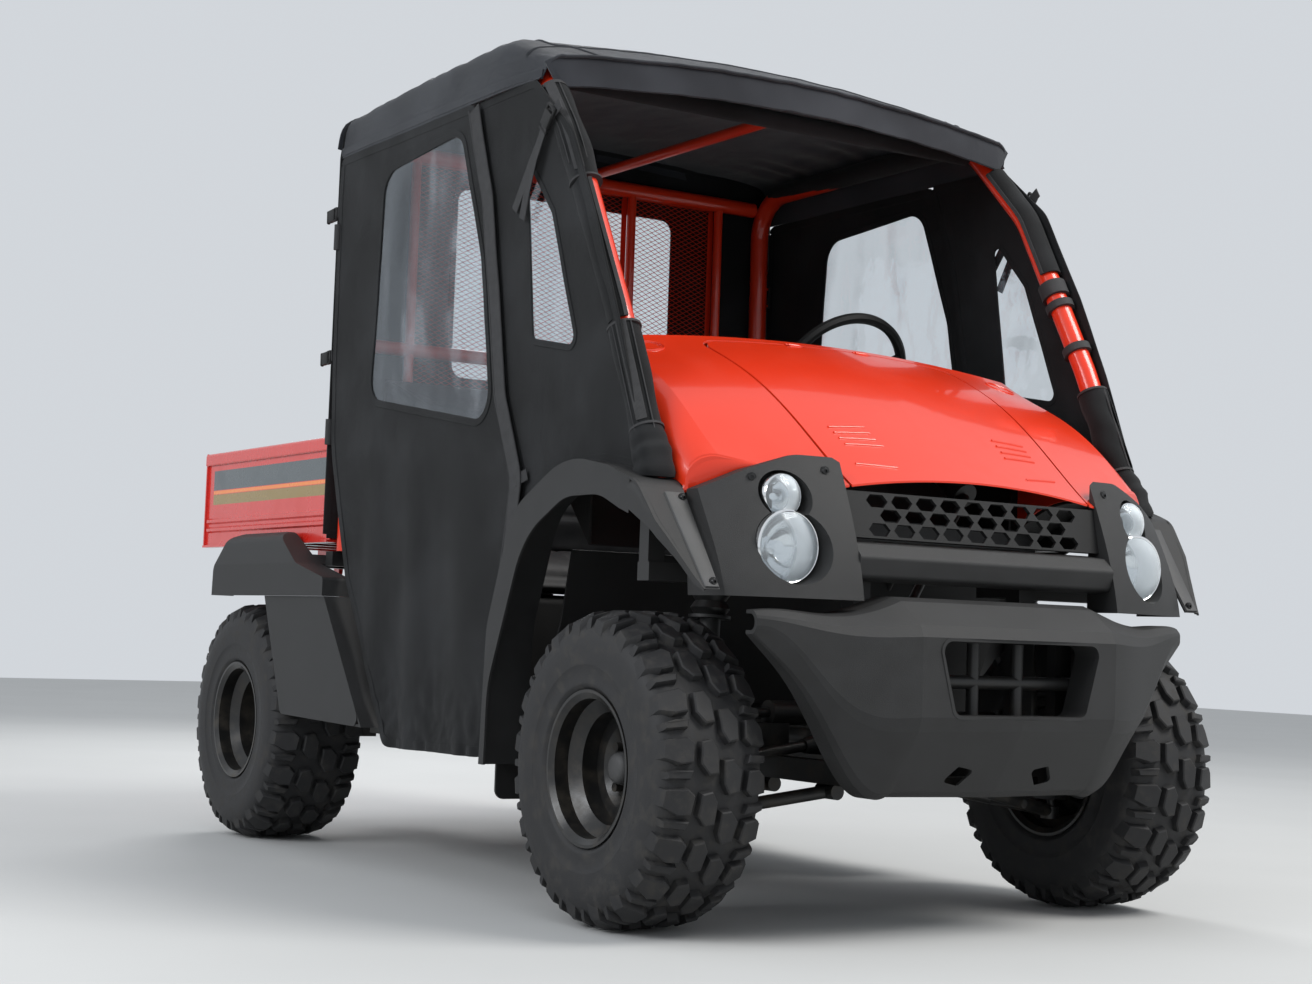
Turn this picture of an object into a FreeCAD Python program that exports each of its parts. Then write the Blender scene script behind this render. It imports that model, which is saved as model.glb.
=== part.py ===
"""Side by side utility vehicle with a fabric cab enclosure and a tipping cargo bed.

X points forward, Y to the vehicle's left, Z up, in millimetres. The origin is on the
ground, in the middle of the overall length and width.
"""
import FreeCAD, Part
import math
import os

V = FreeCAD.Vector

# Driving dimensions of the running gear
WHEELBASE = 1780.0
FRONT_AXLE_X = 897.0
REAR_AXLE_X = FRONT_AXLE_X - WHEELBASE
TYRE_R = 300.0
TYRE_FLATS = 28
LUG_PITCHES = 20
LUG_H = 15.0
SHOULDER_DROP = 13.0
AXLE_Z = TYRE_R
FRONT_HALF_TRACK = 575.0
REAR_HALF_TRACK = 570.0
FRONT_TYRE_W = 232.0
REAR_TYRE_W = 252.0
RIM_R = 148.0
BEAD_R = 136.0
HUB_R = 32.0
HUB_GAP = 0.3
MOVE_GAP = 6.0
SEAT_GAP = 0.3

# Frame
FRAME_Z = 300.0
RAIL_H = 44.0
RAIL_W = 40.0
RAIL_Y = 210.0
FRAME_FRONT_X = 1200.0
FRAME_REAR_X = -1240.0
KICK_X = -620.0
KICK_Z = 462.0
TOWER_X = 1075.0
TOWER_TOP = 790.0
STRUT_TOP_Z = 760.0
DECK_Z = 731.0
DECK_H = 36.0
CROSS_H = 22.0

ENGINE_FRONT_X = -160.0
ENGINE_REAR_X = -600.0

# Steering
KINGPIN_LOW_Y = 495.0
KINGPIN_LOW_Z = 205.0
STRUT_TOP_X = 885.0
STRUT_TOP_Y = 400.0
STRUT_R = 22.0
STUD_R = 9.0
ARM_LEN = 110.0
RACK_Z = 404.0
ARM_Z = 356.0
RACK_R = 10.0
WHEEL_CENTRE = V(232, 390, 1185)
WHEEL_RIM_R = 172.0
WHEEL_TILT = 32.0

# Cab
CAB_HALF = 612.0
CAGE_R = 24.0
PILLAR_INNER = CAB_HALF - CAGE_R - 0.3
SILL_HALF = CAB_HALF - 52.0
PILLAR_FOOT = (992.0, 868.0)
PILLAR_SEAT_Z = 800.0
PILLAR_KNEE = (846.0, 1180.0)
PILLAR_BEND = (640.0, 1552.0)
ROOF_CORNER = (442.0, 1768.0)
CAB_REAR_X = -449.3
CAGE_REAR_X = -425.0
ROOF_RAIL_Z = 1774.0
FABRIC = 5.0
VINYL = 1.5
FABRIC_STAND_OFF = 6.0
FABRIC_Y = CAB_HALF + CAGE_R + FABRIC_STAND_OFF
ROOF_HALF = FABRIC_Y + 8
HEM_Z = 1698.0
DOOR_PIN_X = -446.0
DOOR_PIN_R = 3.0
DOOR_PIN_Y = FABRIC_Y + FABRIC + DOOR_PIN_R
DOOR_HINGE_ZS = (1000.0, 1480.0)
FLOOR_Z = 372.0
FLOOR_FRONT_X = 505.0
SEAT_FRONT_X = 30.0
SEAT_REAR_X = -400.0
SEAT_TOP_Z = 745.0

# Front body
NOSE_GAP = 4.0
NOSE_HALF = CAB_HALF - CAGE_R - NOSE_GAP
SKIN = 5.0
HOOD_REAR_X = 700.0
HOOD_FRONT_X = 1186.0
HOOD_REAR_Y = 332.0
HOOD_FRONT_Y = 298.0
HOOD_GAP = 6.0
HOOD_PIN_X = 697.0
HOOD_PIN_Z = 1179.0
HOOD_PIN_R = 2.2
HOOD_HINGE_Y = 90.0
BEZEL_Y = 318.0
LAMP_Y = NOSE_HALF - 143.0
BIG_LAMP_Z = 724.0
SMALL_LAMP_Z = 819.0
BIG_LAMP_R = 66.0
SMALL_LAMP_R = 38.0
GRILLE_HALF = BEZEL_Y + 0.2
GRILLE_LOW_Z = 748.0
GRILLE_TOP_Z = 838.0
BUMPER_WALL = 7.0
BUMPER_TOP = 641.0
FENDER_REACH = 83.0
FENDER_Y = CAB_HALF + FENDER_REACH
FENDER_LID_Z = 724.0

# Bed
BED_FRONT_X = -482.0
BED_REAR_X = -1340.0
BED_STEP = 9.0
BED_HALF = CAB_HALF + BED_STEP
BED_FLOOR_Z = 772.0
BED_TOP_Z = 1015.0
BED_WALL = 4.0
BED_RAIL = 34.0
BED_PIVOT_X = -1215.0
BED_PIVOT_Z = 742.0
BED_PIN_R = 10.0
GATE_PIN_X = -1352.0
GATE_PIN_Z = 760.0
GATE_PIN_R = 5.0
GATE_HINGE_Y = 400.0
HITCH_Z = 288.0
HITCH_HOLE_X = FRAME_REAR_X - 62
HITCH_HOLE_R = 9.7


def vec(plane, u, v, w):
    """A point of a drawing plane, with w along its normal."""
    if plane == "xz":
        return V(u, w, v)
    if plane == "yz":
        return V(w, u, v)
    return V(u, v, w)


def outline(plane, points, w):
    """Closed wire; a third number on a point rounds that corner."""
    count = len(points)
    starts = []
    ends = []
    middles = []
    for index, point in enumerate(points):
        here = V(point[0], point[1], 0)
        before = V(*points[index - 1][:2], 0)
        after = V(*points[(index + 1) % count][:2], 0)
        radius = point[2] if len(point) > 2 else 0
        if radius == 0:
            starts.append(here)
            ends.append(here)
            middles.append(None)
            continue
        back = (before - here).normalize()
        ahead = (after - here).normalize()
        half = back.getAngle(ahead) / 2
        reach = radius / math.tan(half)
        room = min((before - here).Length, (after - here).Length)
        if reach > room:
            print("corner too round:", point, round(reach), round(room))
        centre = here + (back + ahead).normalize() * (radius / math.sin(half))
        starts.append(here + back * reach)
        ends.append(here + ahead * reach)
        middles.append(centre + (here - centre).normalize() * radius)
    edges = []
    for index in range(count):
        if middles[index]:
            arc = [vec(plane, p.x, p.y, w) for p in (starts[index], middles[index], ends[index])]
            edges.append(Part.Arc(*arc).toShape())
        first = ends[index]
        last = starts[(index + 1) % count]
        if first.distanceToPoint(last) > 1e-6:
            edges.append(Part.makeLine(vec(plane, first.x, first.y, w), vec(plane, last.x, last.y, w)))
    return Part.Wire(edges)


def slab(plane, points, low, high):
    """Solid between two levels of a drawing plane."""
    face = Part.Face(outline(plane, points, low))
    return face.extrude(vec(plane, 0, 0, high - low))


def box(x0, x1, y0, y1, z0, z1):
    return Part.makeBox(x1 - x0, y1 - y0, z1 - z0, V(x0, y0, z0))


def rod(start, end, radius):
    return Part.makeCylinder(radius, start.distanceToPoint(end), start, end - start)


def pipe(start, end, outer, inner):
    return rod(start, end, outer).cut(rod(start, end, inner))


def fuse(shapes):
    """One shape from several that touch or overlap."""
    first = shapes[0]
    if len(shapes) == 1:
        return first
    joined = first.multiFuse(shapes[1:])
    merged = joined.removeSplitter()
    return merged if merged.isValid() else joined


def apart(shapes):
    """A compound of solids that don't touch."""
    solids = []
    for shape in shapes:
        solids += shape.Solids
    return Part.makeCompound(solids)


def mirror(shape):
    return shape.mirror(V(0, 0, 0), V(0, 1, 0))


def pair(shape):
    """The shape and its mirror image on the other side."""
    return apart([shape, mirror(shape)])


def bent_tube(points, radius, bend):
    """Round bar through the points, each corner an arc of the bend radius."""
    pieces = []
    start = points[0]
    for index in range(1, len(points) - 1):
        corner = points[index]
        back = (points[index - 1] - corner).normalize()
        ahead = (points[index + 1] - corner).normalize()
        half = back.getAngle(ahead) / 2
        reach = bend / math.tan(half)
        enter = corner + back * reach
        leave = corner + ahead * reach
        centre = corner + (back + ahead).normalize() * (bend / math.sin(half))
        axis = back.cross(ahead).normalize()
        ring = Part.Face(Part.Wire(Part.makeCircle(radius, enter, back)))
        turn = 180 - math.degrees(2 * half)
        arc = ring.revolve(centre, axis, -turn)
        pieces.append(rod(start, enter, radius))
        pieces.append(arc)
        start = leave
    pieces.append(rod(start, points[-1], radius))
    return fuse(pieces)


def revolve_y(profile, centre):
    """Full turn about a Y axis through the centre; profile points are (radius, y)."""
    points = [V(centre.x + p[0], centre.y + p[1], centre.z) for p in profile]
    face = Part.Face(Part.makePolygon(points + [points[0]]))
    return face.revolve(centre, V(0, 1, 0), 360)


def loft(wires, ruled):
    return Part.makeLoft(wires, True, ruled)


# Wheels

def ring_of_flats(radius, y):
    """Corners of a regular polygon in an upright plane, a flat of it facing the ground."""
    corner = radius / math.cos(math.pi / TYRE_FLATS)
    points = []
    for index in range(TYRE_FLATS):
        angle = math.pi * (2 * index + 1) / TYRE_FLATS
        points.append(V(corner * math.cos(angle), y, corner * math.sin(angle)))
    return points


def ring_solid(profile):
    """Solid ring of flat faces round the Y axis; the closed profile's points are (radius, y)."""
    rings = [ring_of_flats(radius, y) for radius, y in profile]
    faces = []
    for near, far in zip(rings, rings[1:] + rings[:1]):
        for index in range(TYRE_FLATS):
            corners = [near[index - 1], near[index], far[index], far[index - 1]]
            faces.append(Part.Face(Part.makePolygon(corners + corners[:1])))
    solid = Part.Solid(Part.Shell(faces))
    if solid.Volume < 0:
        solid.reverse()
    return solid


def tread_lug(half):
    """One slanted lug of the left half of the tread, at the top of a tyre centred on the origin."""
    shoulder = half - 10
    block = slab("xy", [(-23, 4), (20, 4), (34, shoulder), (-6, shoulder)], TYRE_R - LUG_H - 23, TYRE_R)
    crown = slab("yz", [(4, TYRE_R), (half, TYRE_R - SHOULDER_DROP), (half, TYRE_R + 9), (4, TYRE_R + 9)],
                 -60, 60)
    return block.cut(crown)


def tyre(centre, width):
    """Tyre with a rounded section and its lugs, solid down to the bead seat."""
    half = width / 2
    bead = half - 14
    floor = TYRE_R - LUG_H
    side = [(RIM_R + 1, bead), (TYRE_R * 0.72, half), (TYRE_R * 0.83, half - 2),
            (floor - SHOULDER_DROP, half - 8)]
    profile = [(BEAD_R, -bead)] + [(radius, -y) for radius,
                                   y in side] + [(floor, 0)] + side[::-1] + [(BEAD_R, bead)]
    body = ring_solid(profile)
    left = tread_lug(half)
    right = left.copy()
    right.rotate(V(0, 0, 0), V(0, 0, 1), 180)
    lugs = []
    for pattern, phase in ((left, 0.0), (right, 0.5)):
        for index in range(LUG_PITCHES):
            lug = pattern.copy()
            lug.rotate(V(0, 0, 0), V(0, 1, 0), 180 + 360 * (index + phase) / LUG_PITCHES)
            lugs.append(lug)
    whole = fuse([body] + lugs)
    whole.translate(centre)
    return whole


def rim(centre, width, side):
    """Pressed steel rim with its disc, bolt ring and hub cap."""
    bead = width / 2 - 14
    deep = BEAD_R - 24
    outer = [(RIM_R, bead + 6), (RIM_R, bead + 1), (BEAD_R - SEAT_GAP, bead + 1),
             (BEAD_R - SEAT_GAP, bead - 34),
             (deep, bead - 52), (deep, 52 - bead), (BEAD_R - SEAT_GAP, 34 - bead),
             (BEAD_R - SEAT_GAP, -bead - 1), (RIM_R, -bead - 1), (RIM_R, -bead - 6)]
    inner = [(RIM_R - 6, -bead - 6), (BEAD_R - 5, -bead + 2), (BEAD_R - 5, 32 - bead), (deep - 5, 50 - bead),
             (deep - 5, bead - 50), (BEAD_R - 5, bead - 32), (BEAD_R - 5, bead - 2), (RIM_R - 6, bead + 6)]
    barrel = revolve_y(outer + inner, centre)
    disc_out = side * 18
    disc_in = side * 12
    dish = revolve_y([(0.01, disc_in - side * 14), (70, disc_in - side * 14), (84, disc_in),
                      (deep - 2, disc_in), (deep - 2, disc_out), (82, disc_out),
                      (68, disc_out - side * 14), (0.01, disc_out - side * 14)], centre)
    cap = revolve_y([(0.01, 0), (HUB_R, 0), (HUB_R, side * 26), (HUB_R - 7, side * 34), (0.01, side * 34)],
                    centre)
    nuts = []
    for turn in range(4):
        angle = math.radians(45 + 90 * turn)
        spot = centre + V(54 * math.cos(angle), 0, 54 * math.sin(angle))
        nuts.append(rod(spot, spot + V(0, side * 20, 0), 9))
    return fuse([barrel, dish, cap] + nuts)


def kingpin_rod(low, high, radius):
    """Round bar on the left steering axis between two heights."""
    foot = V(FRONT_AXLE_X, KINGPIN_LOW_Y, KINGPIN_LOW_Z)
    rise = (V(STRUT_TOP_X, STRUT_TOP_Y, STRUT_TOP_Z) - foot) * (1 / (STRUT_TOP_Z - KINGPIN_LOW_Z))
    return rod(foot + rise * (low - KINGPIN_LOW_Z), foot + rise * (high - KINGPIN_LOW_Z), radius)


def knuckle():
    """Left hub carrier with its steering arm, strut and spring."""
    hub_face = FRONT_HALF_TRACK - 2 - HUB_GAP
    hub = V(FRONT_AXLE_X, 0, AXLE_Z)
    spindle = rod(hub + V(0, 470, 0), hub + V(0, hub_face, 0), 42)
    upright = slab("xz", [(FRONT_AXLE_X - 34, KINGPIN_LOW_Z + 25, 10),
                          (FRONT_AXLE_X + 34, KINGPIN_LOW_Z + 25, 10),
                          (FRONT_AXLE_X + 50, AXLE_Z, 20), (FRONT_AXLE_X + 26, AXLE_Z + 75, 12),
                          (FRONT_AXLE_X - 26, AXLE_Z + 75, 12), (FRONT_AXLE_X - 50, AXLE_Z, 20)], 470, 506)
    clamp = box(FRONT_AXLE_X - 22, FRONT_AXLE_X + 22, 424, 474, AXLE_Z + 30, AXLE_Z + 75)
    foot = V(FRONT_AXLE_X, 424, AXLE_Z + 30)
    top = V(STRUT_TOP_X, STRUT_TOP_Y, STRUT_TOP_Z)
    along = (top - foot).normalize()
    length = foot.distanceToPoint(top)
    tube = rod(foot, foot + along * (length - 90), STRUT_R)
    stem = rod(foot, top, 9)
    seat_low = rod(foot + along * (length - 170), foot + along * (length - 164), 42)
    seat_top = rod(foot + along * (length - 26), foot + along * (length - 18), 42)
    turns = []
    for index in range(5):
        level = foot + along * (length - 164 + 28 * index)
        turns.append(Part.makeCone(30, 39, 14, level, along))
        turns.append(Part.makeCone(39, 30, 14, level + along * 14, along))
    arm = slab("xy", [(FRONT_AXLE_X - ARM_LEN - 14, 430, 8), (FRONT_AXLE_X - ARM_LEN + 14, 424, 8),
                      (FRONT_AXLE_X - 20, 472), (FRONT_AXLE_X - 20, 500), (FRONT_AXLE_X - 44, 500),
                      (FRONT_AXLE_X - ARM_LEN - 14, 450, 8)], ARM_Z, ARM_Z + 16)
    joint = Part.makeSphere(30, V(FRONT_AXLE_X, 479, AXLE_Z))
    stud = kingpin_rod(KINGPIN_LOW_Z - 6, KINGPIN_LOW_Z + 34, STUD_R)
    return fuse([spindle, upright, clamp, tube, stem, seat_low, seat_top, arm, joint, stud] + turns)


def front_arms():
    """Lower wishbones, each with a ball joint under its knuckle."""
    ball = V(FRONT_AXLE_X, KINGPIN_LOW_Y - 7, KINGPIN_LOW_Z)
    legs = []
    for pivot_x in (FRONT_AXLE_X - 105, FRONT_AXLE_X + 105):
        pivot = V(pivot_x, RAIL_Y - 20, FRAME_Z - RAIL_H / 2 - 16)
        legs.append(rod(pivot, ball, 13))
        legs.append(rod(pivot - V(28, 0, 0), pivot + V(28, 0, 0), 16 - SEAT_GAP))
    pad = Part.makeCylinder(20, 26, ball + V(0, 0, -16), V(0, 0, 1))
    tie = rod(V(FRONT_AXLE_X - 60, 360, 226), V(FRONT_AXLE_X + 60, 360, 226), 9)
    socket = kingpin_rod(KINGPIN_LOW_Z - 6 - SEAT_GAP, KINGPIN_LOW_Z + 60, STUD_R + HUB_GAP)
    return pair(fuse(legs + [pad, tie]).cut(socket))


def drive_shafts():
    """Front differential with its half shafts and boots, and the shaft from the engine."""
    centre = V(FRONT_AXLE_X, 0, AXLE_Z + 52)
    housing = Part.makeSphere(66, centre)
    nose = rod(centre + V(-150, 0, 0), centre, 24)
    case = fuse([housing, nose, rod(centre - V(0, 120, 0), centre + V(0, 120, 0), 30)])
    shafts = []
    for side in (-1, 1):
        inner = centre + V(0, side * 119, 0)
        outer = V(FRONT_AXLE_X, side * (449 - MOVE_GAP), AXLE_Z + 4)
        along = (outer - inner).normalize()
        shafts.append(rod(inner, outer, 11))
        shafts.append(Part.makeCone(28, 15, 60, inner, along))
        shafts.append(Part.makeCone(14, 22, 54, outer - along * 54, along))
    prop = rod(centre + V(-148, 0, 0), V(ENGINE_FRONT_X + SEAT_GAP, 0, FRAME_Z + 46), 16)
    return fuse([case, prop] + shafts)


# Frame and drive line

def across(side, inner, outer):
    """The two y values of a stretch on one side, low first."""
    return sorted([side * inner, side * outer])


def chassis_frame():
    """Ladder frame with its rear kick-up, floor outriggers, sills and spring hangers."""
    low = FRAME_Z - RAIL_H / 2
    high = FRAME_Z + RAIL_H / 2
    floor = FLOOR_Z - SEAT_GAP
    rail = [(FRAME_FRONT_X, low), (FRAME_FRONT_X, high), (KICK_X + 90, high), (KICK_X, KICK_Z + RAIL_H / 2),
            (FRAME_REAR_X, KICK_Z + RAIL_H / 2), (FRAME_REAR_X, KICK_Z - RAIL_H / 2),
            (KICK_X - 20, KICK_Z - RAIL_H / 2), (KICK_X + 70, low)]
    pieces = []
    for side in (-1, 1):
        y0, y1 = across(side, RAIL_Y - RAIL_W / 2, RAIL_Y + RAIL_W / 2)
        pieces.append(slab("xz", rail, y0, y1))
        beam = across(side, RAIL_Y, SILL_HALF)
        for beam_x in (-330, 60, 408):
            pieces.append(box(beam_x, beam_x + 36, *beam, high - 4, floor))
        pieces.append(box(-330, 444, *across(side, SILL_HALF - 24, SILL_HALF), high - 24, floor))
        for hanger_x in (-300, 300):
            pieces.append(box(REAR_AXLE_X + hanger_x - 14, REAR_AXLE_X + hanger_x + 14, y0, y1, 346, KICK_Z))
    for cross_x in (100, 640, FRAME_FRONT_X - 60):
        pieces.append(box(cross_x, cross_x + 40, -RAIL_Y, RAIL_Y, low, low + CROSS_H))
    for cross_x in (ENGINE_REAR_X + 60, ENGINE_FRONT_X - 60):
        pieces.append(box(cross_x, cross_x + 40, -RAIL_Y, RAIL_Y, high - 10, high))
    pieces.append(box(FRAME_REAR_X, FRAME_REAR_X + 40, -RAIL_Y, RAIL_Y, KICK_Z - RAIL_H / 2, KICK_Z + 14))
    pieces.append(box(FRAME_REAR_X, FRAME_REAR_X + 12, -70, 70, HITCH_Z, KICK_Z))
    return fuse(pieces)


def front_tower():
    """Uprights on the front of the frame, strut plates, pillar feet and bumper posts."""
    foot = FRAME_Z + RAIL_H / 2 + SEAT_GAP
    post_top = BUMPER_TOP - BUMPER_WALL - SEAT_GAP
    pieces = []
    for side in (-1, 1):
        y0, y1 = across(side, RAIL_Y - RAIL_W / 2, RAIL_Y + RAIL_W / 2)
        pieces.append(box(TOWER_X, TOWER_X + 40, y0, y1, foot, TOWER_TOP))
        pieces.append(box(TOWER_X + 30, FRAME_FRONT_X + 26, y0, y1, foot, foot + 40))
        pieces.append(box(FRAME_FRONT_X + SEAT_GAP, FRAME_FRONT_X + 26, y0, y1, foot - RAIL_H, post_top))
        pieces.append(box(972, 1012, *across(side, RAIL_Y - 10, CAB_HALF + 18), 655, 690))
        pieces.append(box(976, 1008, *across(side, CAB_HALF - 18, CAB_HALF + 18), 690, PILLAR_SEAT_Z))
        pieces.append(box(1004, TOWER_X + 10, y0, y1, 655, 690))
        pieces.append(box(850, 950, *across(side, RAIL_Y - 20, 448), STRUT_TOP_Z + 3, STRUT_TOP_Z + 10))
        pieces.append(box(940, 1012, y0, y1, 680, STRUT_TOP_Z + 10))
    pieces.append(box(TOWER_X, TOWER_X + 40, -RAIL_Y, RAIL_Y, TOWER_TOP - 40, TOWER_TOP))
    return fuse(pieces)


def deck_frame():
    """Upper rear frame under the bed: posts, rails, fender brackets and the bed's pivot pins."""
    foot = KICK_Z + RAIL_H / 2 + SEAT_GAP
    low_foot = FRAME_Z + RAIL_H / 2 + SEAT_GAP
    low = DECK_Z - DECK_H
    ear = [(BED_PIVOT_X - 24, DECK_Z - 5), (BED_PIVOT_X - 14, BED_PIVOT_Z + 16),
           (BED_PIVOT_X + 12, BED_PIVOT_Z + 16),
           (BED_PIVOT_X + 30, DECK_Z - 5)]
    pieces = []
    for side in (-1, 1):
        y0, y1 = across(side, RAIL_Y - RAIL_W / 2, RAIL_Y + RAIL_W / 2)
        pieces.append(box(FRAME_REAR_X, BED_FRONT_X + 40, y0, y1, low, DECK_Z))
        for post_x, bottom in ((FRAME_REAR_X, foot), (-900, foot), (BED_FRONT_X, low_foot)):
            pieces.append(box(post_x, post_x + 40, y0, y1, bottom, DECK_Z - 2))
        pieces.append(box(-820, -780, *across(side, RAIL_Y, 530), low + 4, FENDER_LID_Z - SKIN - SEAT_GAP))
        pieces.append(slab("xz", ear, side * RAIL_Y - 8, side * RAIL_Y + 8))
        pin = across(side, RAIL_Y, RAIL_Y + 78)
        pieces.append(rod(V(BED_PIVOT_X, pin[0], BED_PIVOT_Z), V(BED_PIVOT_X, pin[1], BED_PIVOT_Z),
                          BED_PIN_R))
    pieces.append(box(FRAME_REAR_X, FRAME_REAR_X + 40, -RAIL_Y, RAIL_Y, low, DECK_Z))
    pieces.append(box(BED_FRONT_X, BED_FRONT_X + 40, -CAB_HALF - 16, CAB_HALF + 16, low, DECK_Z))
    return fuse(pieces)


def bumper_guard():
    """Round tube guard seen through the opening in the bumper."""
    high = 486.0
    face = 1262.0
    seat = FRAME_FRONT_X + 26 + SEAT_GAP
    pieces = []
    for y in (-55.0, 55.0):
        pieces.append(rod(V(face, y, 330), V(face, y, 560), 12))
    for side in (-1, 1):
        pieces.append(bent_tube([V(face, 0, high), V(face, side * 206, high), V(seat, side * 206, high)], 13,
                                20))
    return fuse(pieces)


def skid_plate():
    """Flat tray under the front of the frame."""
    under = FRAME_Z - RAIL_H / 2 - SEAT_GAP
    return box(640, 1184, -170, 170, under - 5, under)


def engine_block():
    return box(ENGINE_REAR_X, ENGINE_FRONT_X, -165, 165, FRAME_Z + RAIL_H / 2 + SEAT_GAP, 625)


def rear_axle():
    """Axle tube with the transfer case and the wheel flanges."""
    hub = V(REAR_AXLE_X, 0, AXLE_Z)
    face = REAR_HALF_TRACK - 2 - HUB_GAP
    tube = rod(hub - V(0, face, 0), hub + V(0, face, 0), 34)
    case = Part.makeSphere(112, hub + V(20, 60, 20))
    drum = []
    for side in (-1, 1):
        drum.append(rod(hub + V(0, side * (face - 76), 0), hub + V(0, side * face, 0), 70))
        drum.append(box(REAR_AXLE_X - 40, REAR_AXLE_X + 40, side * 330 - 26, side * 330 + 26, AXLE_Z - 40,
                        AXLE_Z + 38))
    return fuse([tube, case] + drum)


def rear_springs():
    """A leaf spring and a damper on each side."""
    spring = []
    for index, half in enumerate((300, 235, 170, 105)):
        level = AXLE_Z + 38 + SEAT_GAP + 7 * index
        spring.append(slab("xz", [(REAR_AXLE_X - half, level + 14 - index),
                                  (REAR_AXLE_X - half / 2, level + 3),
                                  (REAR_AXLE_X, level), (REAR_AXLE_X + half / 2, level + 3),
                                  (REAR_AXLE_X + half, level + 14 - index), (REAR_AXLE_X + half,
                                                                             level + 22 - index),
                                  (REAR_AXLE_X + half / 2, level + 10.5), (REAR_AXLE_X, level + 7.5),
                                  (REAR_AXLE_X - half / 2, level + 10.5), (REAR_AXLE_X - half,
                                                                           level + 22 - index)],
                           306, 354))
    for end in (-300, 300):
        spring.append(rod(V(REAR_AXLE_X + end, 300, AXLE_Z + 62), V(REAR_AXLE_X + end, 360, AXLE_Z + 62), 18))
        spring.append(box(REAR_AXLE_X + end - 9, REAR_AXLE_X + end + 9, RAIL_Y + RAIL_W / 2 + SEAT_GAP, 302,
                          AXLE_Z + 50, AXLE_Z + 74))
    eye = V(REAR_AXLE_X + 50, 314, AXLE_Z + 66)
    top_eye = V(REAR_AXLE_X + 158, 258, 640)
    damper = fuse([rod(eye + (top_eye - eye) * 0.12, eye + (top_eye - eye) * 0.6, 22), rod(eye, top_eye, 10)])
    top_pin = rod(V(REAR_AXLE_X + 158, RAIL_Y + RAIL_W / 2 + SEAT_GAP, 640), V(REAR_AXLE_X + 158, 270, 640),
                  14)
    return pair(fuse(spring + [damper, top_pin]))


def steering_rack():
    """Rack bar with its tie rods, open at the outer eyes."""
    rack_x = FRONT_AXLE_X - ARM_LEN
    bar = rod(V(rack_x, -260, RACK_Z), V(rack_x, 260, RACK_Z), RACK_R)
    rods = []
    for side in (-1, 1):
        rods.append(rod(V(rack_x, side * 256, RACK_Z), V(rack_x, side * 418, RACK_Z), 8))
        rods.append(rod(V(rack_x, side * 428, RACK_Z - 18), V(rack_x, side * 428, RACK_Z + 12), 13))
    return fuse([bar] + rods)


def steering_column():
    """Rack housing, column tube and the bracket under the dash."""
    rack_x = FRONT_AXLE_X - ARM_LEN
    housing = pipe(V(rack_x, -190, RACK_Z), V(rack_x, 190, RACK_Z), 26, RACK_R + HUB_GAP)
    feet = []
    for side in (-1, 1):
        y = sorted([side * 150, side * (RAIL_Y + 20)])
        foot = box(rack_x - 22, rack_x + 22, y[0], y[1], FRAME_Z + RAIL_H / 2 + SEAT_GAP, RACK_Z - 20)
        feet.append(foot)
    axis = column_axis()
    low = WHEEL_CENTRE - axis * 560
    tube = pipe(low, WHEEL_CENTRE - axis * 96, 24, 12)
    elbow = rod(low, low + axis * 40, 30)
    link = rod(low, V(rack_x, 60, RACK_Z + 44), 10)
    stem = rod(V(rack_x, 60, RACK_Z + 14), V(rack_x, 60, RACK_Z + 60), 16)
    shape = fuse([housing, tube, elbow, link, stem] + feet)
    return shape.cut(rod(V(rack_x, -300, RACK_Z), V(rack_x, 300, RACK_Z), RACK_R + HUB_GAP))


def column_axis():
    """Direction from the rack up to the steering wheel."""
    angle = math.radians(WHEEL_TILT)
    return V(-math.cos(angle), 0, math.sin(angle))


def steering_wheel():
    """Rim, three spokes, boss and the top of the shaft."""
    section = []
    for step in range(8):
        turn = math.radians(22.5 + 45 * step)
        section.append((WHEEL_RIM_R + 13 * math.cos(turn), 13 * math.sin(turn)))
    ring = revolve_y(section, V(0, 0, 0))
    ring.rotate(V(0, 0, 0), V(1, 0, 0), 90)
    boss = Part.makeCone(44, 34, 42, V(0, 0, -46), V(0, 0, 1))
    spokes = []
    for angle in (0, 120, 240):
        a = math.radians(angle + 180)
        rim_point = V(WHEEL_RIM_R * math.cos(a), WHEEL_RIM_R * math.sin(a), 0)
        spokes.append(rod(V(0, 0, -24), rim_point, 11))
    shaft = rod(V(0, 0, -330), V(0, 0, -40), 12 - HUB_GAP)
    shape = fuse([ring, boss, shaft] + spokes)
    shape.rotate(V(0, 0, 0), V(0, 1, 0), -(90 - WHEEL_TILT))
    shape.translate(WHEEL_CENTRE)
    return shape


# Cabin

def floor_pan():
    """Floor with its raised edges and sloping toe board."""
    rear = SEAT_FRONT_X - 90
    profile = [(rear, FLOOR_Z), (FLOOR_FRONT_X, FLOOR_Z), (FLOOR_FRONT_X + 92, 572), (632, 720),
               (627, 722), (FLOOR_FRONT_X + 87, 574), (FLOOR_FRONT_X - 3, FLOOR_Z + 5), (rear, FLOOR_Z + 5)]
    pan = slab("xz", profile, -SILL_HALF - 15, SILL_HALF + 15)
    sills = []
    for side in (-1, 1):
        y = sorted([side * (SILL_HALF + 10), side * (SILL_HALF + 16)])
        sills.append(box(rear, 436, y[0], y[1], FLOOR_Z - 70, FLOOR_Z + 24))
    tunnel = box(rear, FLOOR_FRONT_X, -90, 90, FLOOR_Z, FLOOR_Z + 46)
    hollow = box(rear - 1, FLOOR_FRONT_X + 40, -85, 85, FLOOR_Z - 1, FLOOR_Z + 41)
    return fuse([pan, tunnel] + sills).cut(hollow)


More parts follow.
